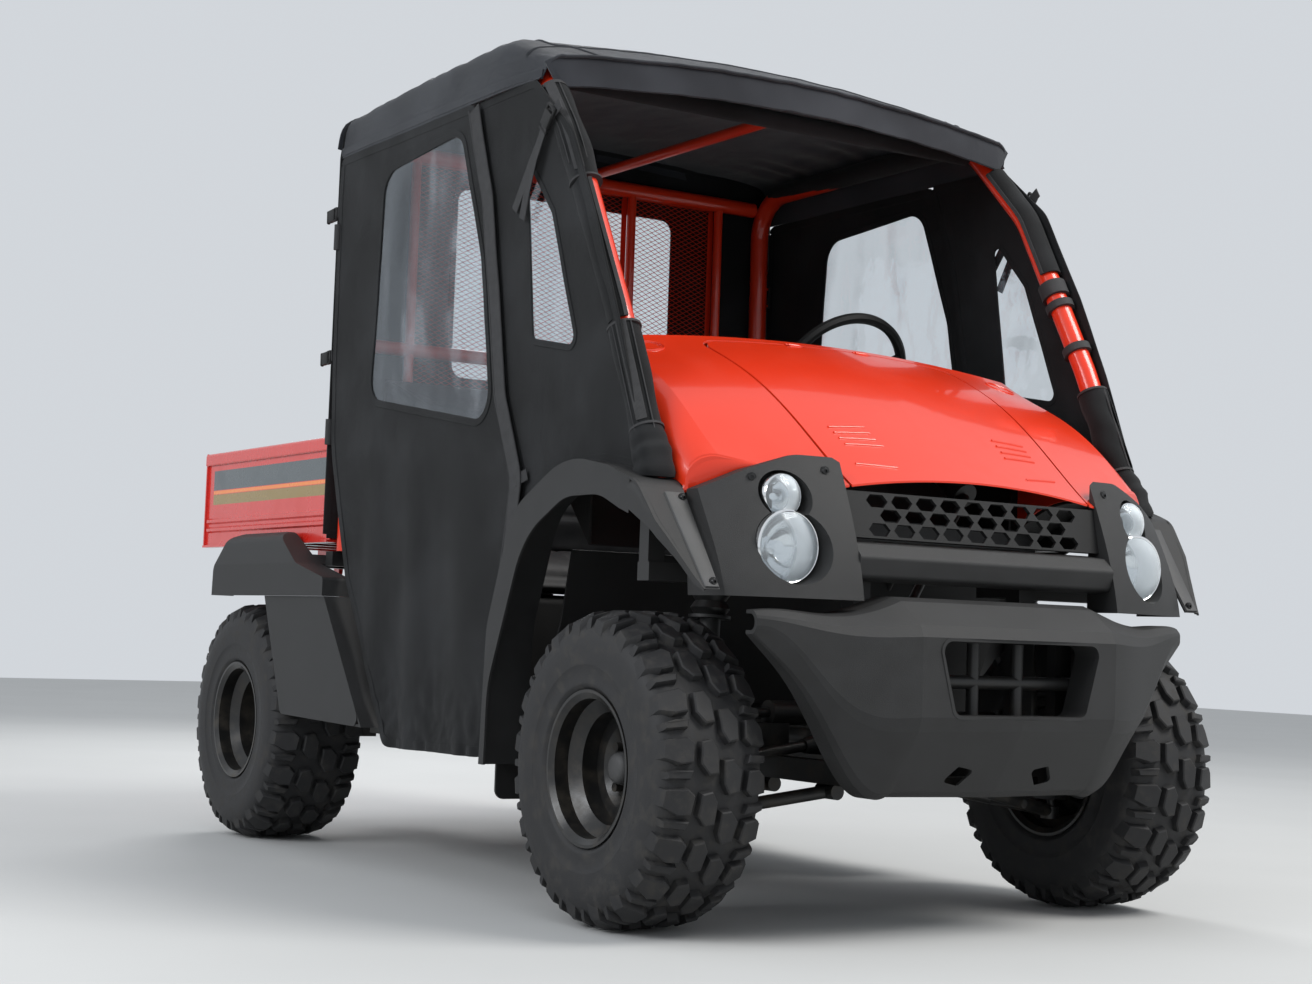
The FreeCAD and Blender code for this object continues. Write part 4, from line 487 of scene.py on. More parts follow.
def cut_cloth(outline, holes, cell):
    """Flat sheet of square cells trimmed to its outline and holes, in X and Y."""
    low = Vector((min(p.x for p in outline), min(p.y for p in outline)))
    high = Vector((max(p.x for p in outline), max(p.y for p in outline)))
    size = high - low
    mesh = bmesh.new()
    place = Matrix.Translation((*(low + size / 2), 0)) @ Matrix.Diagonal((size.x, size.y, 1, 1))
    bmesh.ops.create_grid(mesh, x_segments=math.ceil(size.x / cell), y_segments=math.ceil(size.y / cell),
                          size=0.5, matrix=place)
    waste = []
    for face in mesh.faces:
        spot = face.calc_center_median().xy
        if not is_inside(outline, spot) or any(is_inside(hole, spot) for hole in holes):
            waste.append(face)
    bmesh.ops.delete(mesh, geom=waste, context="FACES")
    for vert in mesh.verts:
        if any(edge.is_boundary for edge in vert.link_edges):
            found = (nearest_on(line, vert.co.xy) for line in [outline] + holes)
            vert.co.xy = min(found, key=lambda gap_and_place: gap_and_place[0])[1]
    bmesh.ops.dissolve_degenerate(mesh, edges=mesh.edges, dist=1e-5)
    return mesh


def thickened(mesh, thickness):
    """Gives an open sheet its wall, both ways from the middle."""
    bmesh.ops.recalc_face_normals(mesh, faces=mesh.faces)
    middle = mesh.verts[:]
    for vert in middle:
        vert.normal_update()
    shifts = {vert: vert.normal * (thickness / 2) for vert in middle}
    for vert, shift in shifts.items():
        vert.co += shift
    bmesh.ops.solidify(mesh, geom=mesh.faces[:], thickness=thickness)
    return mended(mesh)


def spun(points, axis, steps, closed=False):
    """Surface turned from a line of 3-D points round an axis through the origin."""
    mesh = bmesh.new()
    verts = [mesh.verts.new(point) for point in points]
    ends = verts[1:] + verts[:1] if closed else verts[1:]
    edges = [mesh.edges.new(pair) for pair in zip(verts, ends)]
    bmesh.ops.spin(mesh, geom=verts + edges, cent=(0, 0, 0), axis=axis, angle=TURN, steps=steps,
                   use_merge=True)
    return mesh


def shaped_cloth(outline, holes, cell, place, wall):
    """Cut cloth moved to where place() says and given its wall."""
    mesh = cut_cloth(outline, holes, cell)
    for vert in mesh.verts:
        vert.co = place(vert.co.x, vert.co.y)
    return thickened(mesh, wall)


def bevelled_block(size, place, bevel, segments=1):
    """Cuboid of a size round a place, with its edges bevelled."""
    mesh = bmesh.new()
    bmesh.ops.create_cube(mesh, size=1.0, matrix=Matrix.Translation(place) @ Matrix.Diagonal((*size, 1)))
    bmesh.ops.bevel(mesh, geom=mesh.edges[:], offset=bevel, offset_type="OFFSET", segments=segments,
                    profile=0.5, affect="EDGES", material=-1)
    return mesh


def swept(path, section, twist=None):
    """Closed tube through 3-D points; section(share) gives a ring of (side, up) points."""
    mesh = bmesh.new()
    rings = []
    count = len(path)
    side = None
    for index, spot in enumerate(path):
        ahead = (path[min(index + 1, count - 1)] - path[max(index - 1, 0)]).normalized()
        if side is None:
            side = ahead.orthogonal().normalized() if twist is None else twist.cross(ahead).normalized()
        else:
            side = (side - ahead * side.dot(ahead)).normalized()
            if twist is not None:
                side = twist.cross(ahead).normalized()
        up = ahead.cross(side)
        rings.append([mesh.verts.new(spot + side * u + up * v) for u, v in section(index / (count - 1))])
    for first, second in zip(rings, rings[1:]):
        edges = []
        for ring in (first, second):
            for a, b in zip(ring, ring[1:] + ring[:1]):
                edges.append(mesh.edges.get((a, b)) or mesh.edges.new((a, b)))
        bmesh.ops.bridge_loops(mesh, edges=list(dict.fromkeys(edges)))
    mesh.faces.new(rings[0])
    mesh.faces.new(rings[-1])
    return mended(mesh)


def round_section(radius, sides=12):
    ring = [(radius * math.cos(TURN * k / sides), radius * math.sin(TURN * k / sides)) for k in range(sides)]
    return lambda share: ring


def strap_section(thickness, width):
    """Flat band: its width lies in the cloth, its thickness stands out from it."""
    half = width / 2
    bevel = thickness * 0.3
    ring = ((-half, -thickness / 2 + bevel), (-half + bevel, -thickness / 2), (half - bevel, -thickness / 2),
            (half, -thickness / 2 + bevel), (half, thickness / 2 - bevel), (half - bevel, thickness / 2),
            (-half + bevel, thickness / 2), (-half, thickness / 2 - bevel))
    return lambda share: ring


def joined(meshes):
    """One bmesh holding several; the others are freed."""
    whole = bmesh.new()
    for mesh in meshes:
        data = bpy.data.meshes.new("part_of")
        mesh.to_mesh(data)
        mesh.free()
        whole.from_mesh(data)
        bpy.data.meshes.remove(data)
    return whole


def mirrored(mesh, side):
    """A left-hand mesh, turned over to the right when side is -1."""
    if side < 0:
        bmesh.ops.scale(mesh, vec=(1, -1, 1), verts=mesh.verts)
        bmesh.ops.reverse_faces(mesh, faces=mesh.faces)
    return mesh


def wave(x, y, seed):
    """Smooth noise from -1 to 1."""
    return noise.noise(Vector((x, y, seed * 7.31)))


# Fabric roof

# station: place along X, half width, shoulder height, crown height, forward lean
ROOF_STATIONS = ((-0.456, 0.6475, 1.8035, 1.8375, 0.0), (0.330, 0.6495, 1.8235, 1.8615, 0.0),
                 (0.462, 0.6455, 1.7895, 1.8355, 0.2), (0.568, 0.6415, 1.7455, 1.7875, 0.45))
HEM_Z = 1.699
ROOF_STEPS = 120
# cross sections already worked out, by their X
ROOF_LINES = {}


def between_stations(x):
    """Half width, shoulder, crown and lean of the roof at any X, smooth over the stations."""
    index = 0
    while index < len(ROOF_STATIONS) - 2 and x > ROOF_STATIONS[index + 1][0]:
        index += 1
    first, second = ROOF_STATIONS[index:index + 2]
    share = (x - first[0]) / (second[0] - first[0])
    if index > 0:
        ease = share if index == 2 else share * share * (1.6 - 0.6 * share)
    else:
        ease = share * (2 - share)
    return [a + (b - a) * ease for a, b in zip(first[1:], second[1:])]


def roof_line(x):
    """Half of the roof's cross section from the middle to the hem, as (y, z) in even steps."""
    half, shoulder, crown = between_stations(x)[:3]
    top = []
    for step in range(21):
        y = (half - 0.054) * step / 20
        top.append(Vector((y, shoulder + 0.006 + (crown - shoulder - 0.006) * (1 - (step / 20) ** 2))))
    corner = [Vector((half - 0.054, shoulder + 0.006)), Vector((half - 0.034, shoulder + 0.001)),
              Vector((half - 0.020, shoulder - 0.008)), Vector((half - 0.012, shoulder - 0.022)),
              Vector((half - 0.008, shoulder - 0.040))]
    line = top + corner[1:] + [Vector((half, HEM_Z))]
    return evenly(line, 0.001)


def roof_at(x, share):
    """Point of the roof; share runs from -1 at the right hem to 1 at the left one."""
    line = ROOF_LINES.setdefault(round(x, 4), roof_line(x))
    spot = line[min(len(line) - 1, round(abs(share) * (len(line) - 1)))]
    crown, lean = between_stations(x)[2:]
    sign = 1 if share >= 0 else -1
    middle = max(0.0, 1 - abs(share) / 0.8)
    bows = 0.5 - 0.5 * math.cos((x + 0.45) / 0.36 * TURN)
    sag = -0.006 * bows * middle ** 0.6 if x < 0.40 else 0.0
    ripple = 0.0022 * wave(x * 5, share * 9, 1) + 0.0012 * wave(x * 16, share * 22, 2)
    corner = max(0.0, 1 - abs(abs(share) - 0.74) * 6)
    pull = 0.0030 * corner * math.sin(x * 62 + 9 * wave(x * 4, share, 3))
    lift = sag + ripple + pull - 0.0032
    out = 0.0025 * wave(x * 9, share * 6, 4) * (1 if abs(share) > 0.82 else 0)
    out -= 0.003 * (abs(share) > 0.8)
    return Vector((x + lean * (spot.y - crown), sign * (spot.x + out), spot.y + lift * (abs(share) < 0.9)))


def across_roof(x, reach, shift):
    """Line over the roof at one X, out to a number of sixtieths of its half width on each side."""
    return [roof_at(x, share / 60) + Vector(shift) for share in range(-reach, reach + 1)]


def fabric_roof():
    """The canopy's cloth with its seams, piping and hems."""
    low, high = ROOF_STATIONS[0][0], ROOF_STATIONS[-1][0]
    mesh = bmesh.new()
    bmesh.ops.create_grid(mesh, x_segments=ROOF_STEPS, y_segments=2 * ROOF_STEPS, size=1.0)
    for vert in mesh.verts:
        x = low + (high - low) * (vert.co.x + 1) / 2
        vert.co = roof_at(x, vert.co.y)
    thickened(mesh, 0.0022)
    roof = piece("fabric_roof", mesh, "chassis", "canopy_fabric")
    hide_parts("soft_top")
    trims = []
    for side in (-1, 1):
        for share, first, shift, section, facing in (
                (0.745, 1, (0, side * 0.0015, 0.0015), round_section(0.0030, 8), None),
                (0.985, 0, (0, side * 0.0012, 0.004), strap_section(0.0045, 0.020), Vector((0, side, 0)))):
            path = [roof_at(low + (high - low) * step / 100, side * share) + Vector(shift)
                    for step in range(first, 101)]
            trims.append(swept(path, section, facing))
    for x, reach, shift, section, facing in (
            (high, 56, (-0.001, 0, -0.031), strap_section(0.0060, 0.066), Vector((1, 0, 0.1))),
            (high, 57, (0.002, 0, 0.002), round_section(0.0038, 8), None),
            (high - 0.094, 55, (0, 0, 0.0014), round_section(0.0022, 6), None),
            (high - 0.101, 55, (0, 0, 0.0014), round_section(0.0014, 6), None),
            (low + 0.002, 57, (-0.002, 0, -0.016), strap_section(0.0045, 0.034), Vector((-1, 0, 0)))):
        trims.append(swept(across_roof(x, reach, shift), section, facing))
    trim = piece("roof_bindings", joined(trims), "chassis", "canopy_fabric")


# Side panels, doors and their windows

def door_fold(x, z):
    """How far the hanging door stands out, in metres."""
    low = max(0.0, min(1.0, (1.04 - z) / 0.42))
    slant = x * 27 + (z - 0.6) * 2.4 + 3.2 * wave(x * 1.6, z * 0.9, 5)
    folds = 0.0100 * (0.5 + 0.5 * math.sin(slant)) ** 1.4 * low
    hem = max(0.0, 1 - (z - 0.29) / 0.20)
    crumple = 0.013 * abs(wave(x * 17, z * 15, 6)) * hem + 0.006 * abs(wave(x * 36, z * 30, 17)) * hem
    soft = 0.0030 * (1 + wave(x * 4.5, z * 4.5, 7)) + 0.0014 * wave(x * 15, z * 11, 8)
    top = 0.004 * max(0.0, (z - 1.60) / 0.09)
    return 0.0006 + folds + crumple + soft * 0.8 - top * 0.4


def window_wave(x, z):
    """Slack of the clear door window: long slanting creases over a soft bulge."""
    creases = 0.0042 * (1 - abs(wave(x * 3.0 + z * 1.8, z * 1.1 - x * 0.8, 9)) * 2.4)
    return creases + 0.0034 * wave(x * 5.2, z * 3.1, 10) + 0.0014 * wave(x * 15, z * 9, 18)


def edge_trim(outline, place, width, thickness, step=0.008):
    """Flat binding sewn along a closed line of the cloth."""
    line = evenly(outline + outline[:1], step)
    path = [place(spot.x, spot.y) for spot in line]
    return swept(path, strap_section(thickness, width), Vector((0, 1, 0)))


def side_enclosure(word, side):
    """Door, its window, its zip and its hinge covers, on one side."""
    body = "door_" + word
    outline = rounded(DOOR_OUTLINE)
    window = rounded(DOOR_WINDOW)

    def door_place(x, z, out=0.0):
        return Vector((x, DOOR_Y + door_fold(x, z) + out, z))

    mesh = shaped_cloth(outline, [window], 0.009, door_place, CLOTH_WALL)
    door = piece("door_cloth_" + word, mirrored(mesh, side), body, "side_fabric")
    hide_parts(body)
    trims = [edge_trim(outline, door_place, 0.022, 0.0042),
             edge_trim(window, lambda x, z: door_place(x, z, 0.0004), 0.017, 0.0056)]
    trim = piece("door_binding_" + word, mirrored(joined(trims), side), body, "side_fabric")
    round((flat_area(outline) - flat_area(window)) * 1.012, 4)

    def film_place(x, z):
        hold = min(1.0, nearest_on(window, Vector((x, z)))[0] / 0.07)
        return Vector((x, DOOR_Y + door_fold(x, z) * (1 - hold) + hold * (0.0035 + window_wave(x, z)), z))

    glass = shaped_cloth(window, [], 0.012, film_place, FILM_WALL)
    clear = piece("door_window_film_" + word, mirrored(glass, side), body, "clear_vinyl", smooth=60)
    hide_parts("door_window_" + word)
    round(flat_area(window), 4)
    zip_line = open_path(((0.262, 1.684), (0.347, 1.472, 0.12), (0.441, 1.034, 0.16), (0.529, 0.861, 0.06),
                          (0.493, 0.690, 0.06), (0.450, 0.306)), 0.009)
    flap = [door_place(spot.x, spot.y, 0.0036) for spot in zip_line]
    coil = [door_place(spot.x - 0.025, spot.y, 0.0030) for spot in zip_line]
    zips = [swept(flap, strap_section(0.0044, 0.042), Vector((0, 1, 0))),
            swept(coil, round_section(0.0032, 6))]
    for z in HINGE_ZS:
        cover = [Vector((HINGE_X, HINGE_Y, z - 0.010 + 0.062 * step / 6)) for step in range(7)]
        zips.append(swept(cover, round_section(0.0098, 16)))
    piece("door_zip_" + word, mirrored(joined(zips), side), body, "webbing")


def fixed_panels():
    """Fabric in front of the doors, on both sides; the films of its vents come back."""
    outline = rounded(CURTAIN_OUTLINE)
    vent = rounded(VENT_WINDOW)

    def place(x, z, out=0.0):
        soft = 0.0016 * wave(x * 7, z * 5, 11) + 0.0007 * wave(x * 21, z * 14, 12)
        return Vector((x, CURTAIN_Y + soft + out, z))

    def film_place(x, z):
        return Vector((x, CURTAIN_Y + 0.0015 * wave(x * 8, z * 5, 13), z))

    panels = []
    trims = []
    films = []
    for side in (-1, 1):
        panels.append(mirrored(shaped_cloth(outline, [vent], 0.008, place, CLOTH_WALL), side))
        trims.append(mirrored(edge_trim(vent, lambda x, z: place(x, z, 0.0005), 0.014, 0.0050, 0.006), side))
        trims.append(mirrored(edge_trim(outline, place, 0.018, 0.0040), side))
        films.append(mirrored(shaped_cloth(vent, [], 0.010, film_place, FILM_WALL), side))
    cloth = piece("fixed_panel_cloth", joined(panels), "chassis", "side_fabric")
    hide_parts("side_curtains")
    trim = piece("fixed_panel_binding", joined(trims), "chassis", "side_fabric")
    area = 2 * (flat_area(outline) - flat_area(vent))
    return films


def back_panel(films):
    """Fabric back of the cab and its window."""
    section = [Vector((spot.x - 0.007, spot.y - 0.007)) for spot in roof_line(ROOF_STATIONS[0][0])]
    section = [spot for spot in section if spot.y > HEM_Z]
    left = evenly(section, 0.012)
    right = [Vector((-spot.x, spot.y)) for spot in left[1:]]
    outline = [Vector((-0.640, 0.772)), Vector((0.640, 0.772))] + left[::-1] + right
    window = rounded(REAR_WINDOW)

    def place(y, z, out=0.0):
        hang = 0.0024 * math.sin(y * 21 + 1.5 * wave(y * 2, z, 14)) * max(0.0, min(1.0, (1.15 - z) / 0.3))
        return Vector((REAR_CURTAIN_X - 0.0026 - abs(hang) - 0.001 * wave(y * 5, z * 5, 15) - out, y, z))

    def film_place(y, z):
        return Vector((REAR_CURTAIN_X - 0.0035 - 0.0025 * wave(y * 4, z * 3, 16), y, z))

    mesh = shaped_cloth(outline, [window], 0.011, place, CLOTH_WALL)
    cloth = piece("back_cloth", mesh, "chassis", "side_fabric")
    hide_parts("rear_curtain")
    binding = []
    for line, width in ((window, 0.017), (outline, 0.020)):
        path = [place(spot.x, spot.y, 0.0004) for spot in evenly(line + line[:1], 0.01)]
        binding.append(swept(path, strap_section(0.0048, width), Vector((1, 0, 0))))
    trim = piece("back_binding", joined(binding), "chassis", "side_fabric")
    round(flat_area(outline) - flat_area(window), 4)
    films.append(shaped_cloth(window, [], 0.014, film_place, FILM_WALL))
    clear = piece("vent_and_back_films", joined(films), "chassis", "clear_vinyl", smooth=60)
    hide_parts("clear_windows")
    vent = rounded(VENT_WINDOW)
    round(2 * flat_area(vent) + flat_area(window), 4)


fabric_roof()
for side_word, side_sign in SIDES:
    side_enclosure(side_word, side_sign)
back_panel(fixed_panels())


# Pillar sleeves, straps and buckles

def pillar_line(low_z, high_z, step=0.012):
    """Middle of the left pillar between two heights, with its lean towards the roof."""
    spots = []
    for spot in open_path(PILLAR_PATH, step):
        if low_z <= spot.y <= high_z and spot.x > 0.35:
            lean = max(0.0, (spot.y - 1.552) / 0.216) * 0.018
            spots.append(Vector((spot.x, PILLAR_Y - lean, spot.y)))
    return spots


FRONTWARD = Vector((1, 0, 0.3))


def part_wrap(first, last):
    """Ring of a cloth band over part of a tube; 0 degrees looks inwards, 90 forwards and 180 outwards."""
    ring = []
    for radius, steps in ((0.0308, range(17)), (0.0272, range(16, -1, -1))):
        for step in steps:
            angle = math.radians(first + (last - first) * step / 16)
            ring.append((radius * math.cos(angle), radius * math.sin(angle)))
    return lambda share: ring


def loose_wrap(length, seed, foot):
    """Ring of a loose sleeve with slanting wrinkles, bunched up outwards over its foot."""
    def section(share):
        along = share * length
        bunch = max(0.0, 1 - along / foot) if foot else 0.0
        ring = []
        for step in range(32):
            angle = TURN * step / 32
            wrinkle = 0.0026 * wave(along * 15, math.cos(angle) * 1.4 + math.sin(angle), seed)
            wrinkle += 0.0013 * math.sin(2 * angle + along * 55 + 4 * wave(along * 5, 0.3, seed + 1))
            outwards = 0.45 + 0.55 * max(0.0, math.cos(angle - 2.2))
            pleats = 0.0036 * math.sin(angle * 5 + 2) + 0.004 * math.sin(along * 190)
            swell = bunch ** 0.8 * outwards * (0.017 + pleats)
            reach = 0.0318 + wrinkle + swell
            ring.append((reach * math.cos(angle), reach * math.sin(angle)))
        return ring
    return section


def beside_pillar(low_z, high_z, degrees, radius):
    """Line along the left pillar at one angle round it, and the way it faces."""
    middle = pillar_line(low_z, high_z)
    angle = math.radians(degrees)
    line = []
    for index, spot in enumerate(middle):
        ahead = (middle[min(index + 1, len(middle) - 1)] - middle[max(index - 1, 0)]).normalized()
        inwards = FRONTWARD.cross(ahead).normalized()
        facing = inwards * math.cos(angle) + ahead.cross(inwards) * math.sin(angle)
        line.append(spot + facing * radius)
    return line, facing


def buckle(length, width, depth):
    """Side-release buckle, lying along X with its face to Y."""
    blocks = [bevelled_block((length * 0.58, depth, width), (0, 0, 0), depth * 0.3, 2)]
    for up in (-1, 1):
        blocks.append(bevelled_block((length * 0.32, depth * 0.7, width * 0.16),
                                     (length * 0.30, 0, up * width * 0.46), depth * 0.18))
    for end in (-0.42, 0.46):
        blocks.append(bevelled_block((length * 0.10, depth * 0.8, width * 1.05), (length * end, 0, 0),
                                     depth * 0.2))
    return joined(blocks)


def placed(mesh, place, direction, facing):
    """Turns a mesh modelled along X and facing Y to a direction and a facing, and moves it there."""
    ahead = Vector(direction).normalized()
    out = Vector(facing)
    out = (out - ahead * out.dot(ahead)).normalized()
    turn = Matrix((ahead, out, ahead.cross(out))).transposed().to_4x4()
    bmesh.ops.transform(mesh, matrix=Matrix.Translation(place) @ turn, verts=mesh.verts)
    return mesh


# low and high end of each sleeve, and the height over which its foot bunches up
LOOSE_SLEEVES = {"right": ((0.840, 1.150, 0.095), (1.452, 1.676, 0)), "left": ((0.840, 1.130, 0.095),)}
# low and high end, and the stretch round the tube that the cloth covers, in degrees
OPEN_SLEEVES = {"right": ((1.145, 1.458, 100, 276),), "left": ((1.396, 1.668, 12, 232),)}
# low and high end of each narrow band
SLEEVE_BANDS = {"right": (), "left": ((1.352, 1.392), (1.322, 1.342), (1.216, 1.240))}


# thickness and points of each strap on the left side
STRAPS = ((0.0022, ((0.462, 0.6480, 1.430), (0.530, 0.6490, 1.520), (0.600, 0.6500, 1.600),
                    (0.640, 0.6470, 1.625))),
          (0.0020, ((0.590, 0.6530, 1.590), (0.560, 0.6600, 1.520), (0.528, 0.6570, 1.455),
                    (0.505, 0.6530, 1.405))),
          (0.0022, ((-0.450, 0.6490, 1.209), (-0.475, 0.6500, 1.207), (-0.500, 0.6480, 1.202))),
          (0.0022, ((-0.450, 0.6490, 1.564), (-0.475, 0.6500, 1.562), (-0.500, 0.6480, 1.557))),
          (0.0022, ((0.560, 0.6470, 0.872), (0.530, 0.6560, 0.860), (0.500, 0.6540, 0.848))))
# length, width and depth of each buckle, its place and the way it points
BUCKLES = (((0.062, 0.034, 0.011), (0.598, 0.6530, 1.598), (0.6, 0, 0.75)),
           ((0.058, 0.032, 0.012), (-0.484, 0.6500, 1.205), (1, 0, 0.05)),
           ((0.058, 0.032, 0.012), (-0.484, 0.6500, 1.560), (1, 0, 0.05)))


def pillar_covers():
    """Sleeves laced round the front pillars, with their straps and buckles."""
    cloth = []
    bands = []
    plastic = []
    out = Vector((0, 1, 0))

    def lay(pile, path, section, facing=None):
        pile.append(mirrored(swept(path, section, facing), side))

    for word, side in SIDES:
        for low, high, foot in LOOSE_SLEEVES[word]:
            lay(cloth, pillar_line(low, high, 0.008), loose_wrap(high - low, 21 + side, foot), FRONTWARD)
            for degrees in (98, 168):
                lay(bands, beside_pillar(low + 0.03, high - 0.004, degrees, 0.0328)[0],
                    round_section(0.0016, 6))
            line, facing = beside_pillar(low + foot + 0.01, high - 0.006, 134, 0.0336)
            lay(bands, line, strap_section(0.0016, 0.022), facing)
            for end in (low + foot, high - 0.010):
                lay(bands, pillar_line(end, end + 0.010, 0.005), round_section(0.0345, 24), FRONTWARD)
        for low, high, first, last in OPEN_SLEEVES[word]:
            lay(cloth, pillar_line(low, high), part_wrap(first, last), FRONTWARD)
            for degrees in (first + 8, last - 8):
                line, facing = beside_pillar(low, high, degrees, 0.0312)
                lay(bands, line, strap_section(0.0018, 0.009), facing)
        rail = [Vector((0.415 - 0.77 * step / 40, RAIL_Y, RAIL_Z)) for step in range(41)]
        lay(cloth, rail, round_section(0.0262, 24), out)
        for low, high in SLEEVE_BANDS[word]:
            lay(bands, pillar_line(low, high, 0.006), round_section(0.0322, 24), FRONTWARD)
        for thickness, points in STRAPS:
            lay(bands, [Vector(point) for point in points], strap_section(thickness, STRAP_WIDTH), out)
        for size, place, direction in BUCKLES:
            plastic.append(mirrored(placed(buckle(*size), Vector(place), direction, out), side))
    span = PILLAR_Y * 0.97 - PILLAR_R - 0.002
    head = [Vector((HEAD_TUBE_X, span * step / 30, HEAD_TUBE_Z)) for step in range(-30, 31)]
    cloth.append(swept(head, round_section(0.0204, 24), Vector((1, 0, 0))))
    piece("pillar_sleeves", joined(cloth), "chassis", "side_fabric")
    piece("strap_bands", joined(bands), "chassis", "webbing")
    piece("strap_buckles", joined(plastic), "chassis", "black_plastic")


# Wheels

# half sections from the middle of the tread to the bead: share of half the width, radius
CARCASS = ((0.00, 0.2855), (0.45, 0.2850), (0.70, 0.2800), (0.86, 0.2720), (0.95, 0.2580), (0.985, 0.2400),
           (1.00, 0.2180), (0.985, 0.1960), (0.985, 0.1945), (0.975, 0.1925), (0.965, 0.1780),
           (0.955, 0.1640),
           (0.960, 0.1600), (0.950, 0.1565), (0.880, 0.1490), (0.860, 0.1365))
TREAD_PITCHES = 20
# outlines in millimetres, along and across the tread, with the height of each block
CENTRE_BLOCK = (((-38, 4), (8, 3), (30, 17), (25, 42), (-18, 47), (-41, 27)), 15.0)
SHOULDER_BLOCK = (((-18, 57), (20, 51), (33, 66), (31, 112), (-8, 114), (-21, 86)), 15.0)
SMALL_BLOCK = (((-46, 62), (-28, 55), (-27, 84), (-30, 110), (-46, 108)), 12.0)


def crown_radius(share):
    """Radius of the blocks' tops at a share of half the width."""
    share = abs(share)
    if share < 0.45:
        return TREAD_TOP
    if share < 0.86:
        return TREAD_TOP - 0.009 * ((share - 0.45) / 0.41) ** 1.6
    return TREAD_TOP - 0.009 - 0.034 * ((share - 0.86) / 0.12) ** 1.5


def tread_block(outline, height, half, stretch):
    """One rubber block, modelled flat and bent round the carcass."""
    mesh = bmesh.new()
    base = mesh.faces.new([mesh.verts.new((u * MM, v * MM * stretch, -0.006)) for u, v in outline])
    bmesh.ops.recalc_face_normals(mesh, faces=[base])
    top = bmesh.ops.extrude_face_region(mesh, geom=[base])
    raised = [item for item in top["geom"] if isinstance(item, bmesh.types.BMVert)]
    middle = sum((vert.co for vert in raised), Vector()) / len(raised)
    for vert in raised:
        vert.co = middle + (vert.co - middle) * 0.87
        vert.co.z = height * MM
    rim = [edge for edge in mesh.edges if all(vert in raised for vert in edge.verts)]
    bmesh.ops.bevel(mesh, geom=rim, offset=0.0022, offset_type="OFFSET", segments=1, profile=0.5,
                    affect="EDGES", material=-1)
    for vert in mesh.verts:
        share = vert.co.y / half
        top_radius = crown_radius(share) - 0.015 + vert.co.z
        angle = vert.co.x / 0.290
        vert.co = Vector((top_radius * math.sin(angle), vert.co.y, top_radius * math.cos(angle)))
    return mended(mesh)


def wheel_tyre(word, centre_y, width, centre_x, body):
    """Tyre: its carcass, and three patterns of blocks repeated round it on both halves."""
    half = width / 2
    line = [(0, share * half, radius) for share, radius in CARCASS]
    line = [(0, -y, radius) for _, y, radius in line[::-1]] + line[1:]
    meshes = [mended(spun(line, (0, 1, 0), 84, closed=True))]
    stretch = width / FRONT_TYRE_WIDTH
    patterns = [tread_block(*block, half, stretch) for block in (CENTRE_BLOCK, SHOULDER_BLOCK, SMALL_BLOCK)]
    for pitch in range(TREAD_PITCHES):
        for side, phase in ((1, 0.0), (-1, 0.5)):
            turn = Matrix.Rotation(TURN * (pitch + phase) / TREAD_PITCHES, 4, "Y")
            flip = Matrix.Diagonal((side, side, 1, 1))
            for pattern in patterns:
                copy = pattern.copy()
                bmesh.ops.transform(copy, matrix=turn @ flip, verts=copy.verts)
                meshes.append(copy)
    for pattern in patterns:
        pattern.free()
    whole = joined(meshes)
    bmesh.ops.translate(whole, vec=(centre_x, centre_y, TREAD_TOP), verts=whole.verts)
    made = piece("tyre_tread_" + word, whole, body, "tyre", smooth=35)
    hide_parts("tyre_" + word)


def wheel_trim(word, body, outward):
    """Grey cap in the middle of a rim."""
    low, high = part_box("rim_" + word)
    profile = ((0.0, 0.046), (0.018, 0.046), (0.026, 0.043), (0.030, 0.036), (0.031, 0.010))
    cap = mended(spun([(0, y * outward, radius) for radius, y in profile], (0, 1, 0), 28))
    bmesh.ops.translate(cap, vec=(low + high) / 2, verts=cap.verts)
    piece("hub_cap_" + word, cap, body, "cap_grey")


# Screen behind the seat

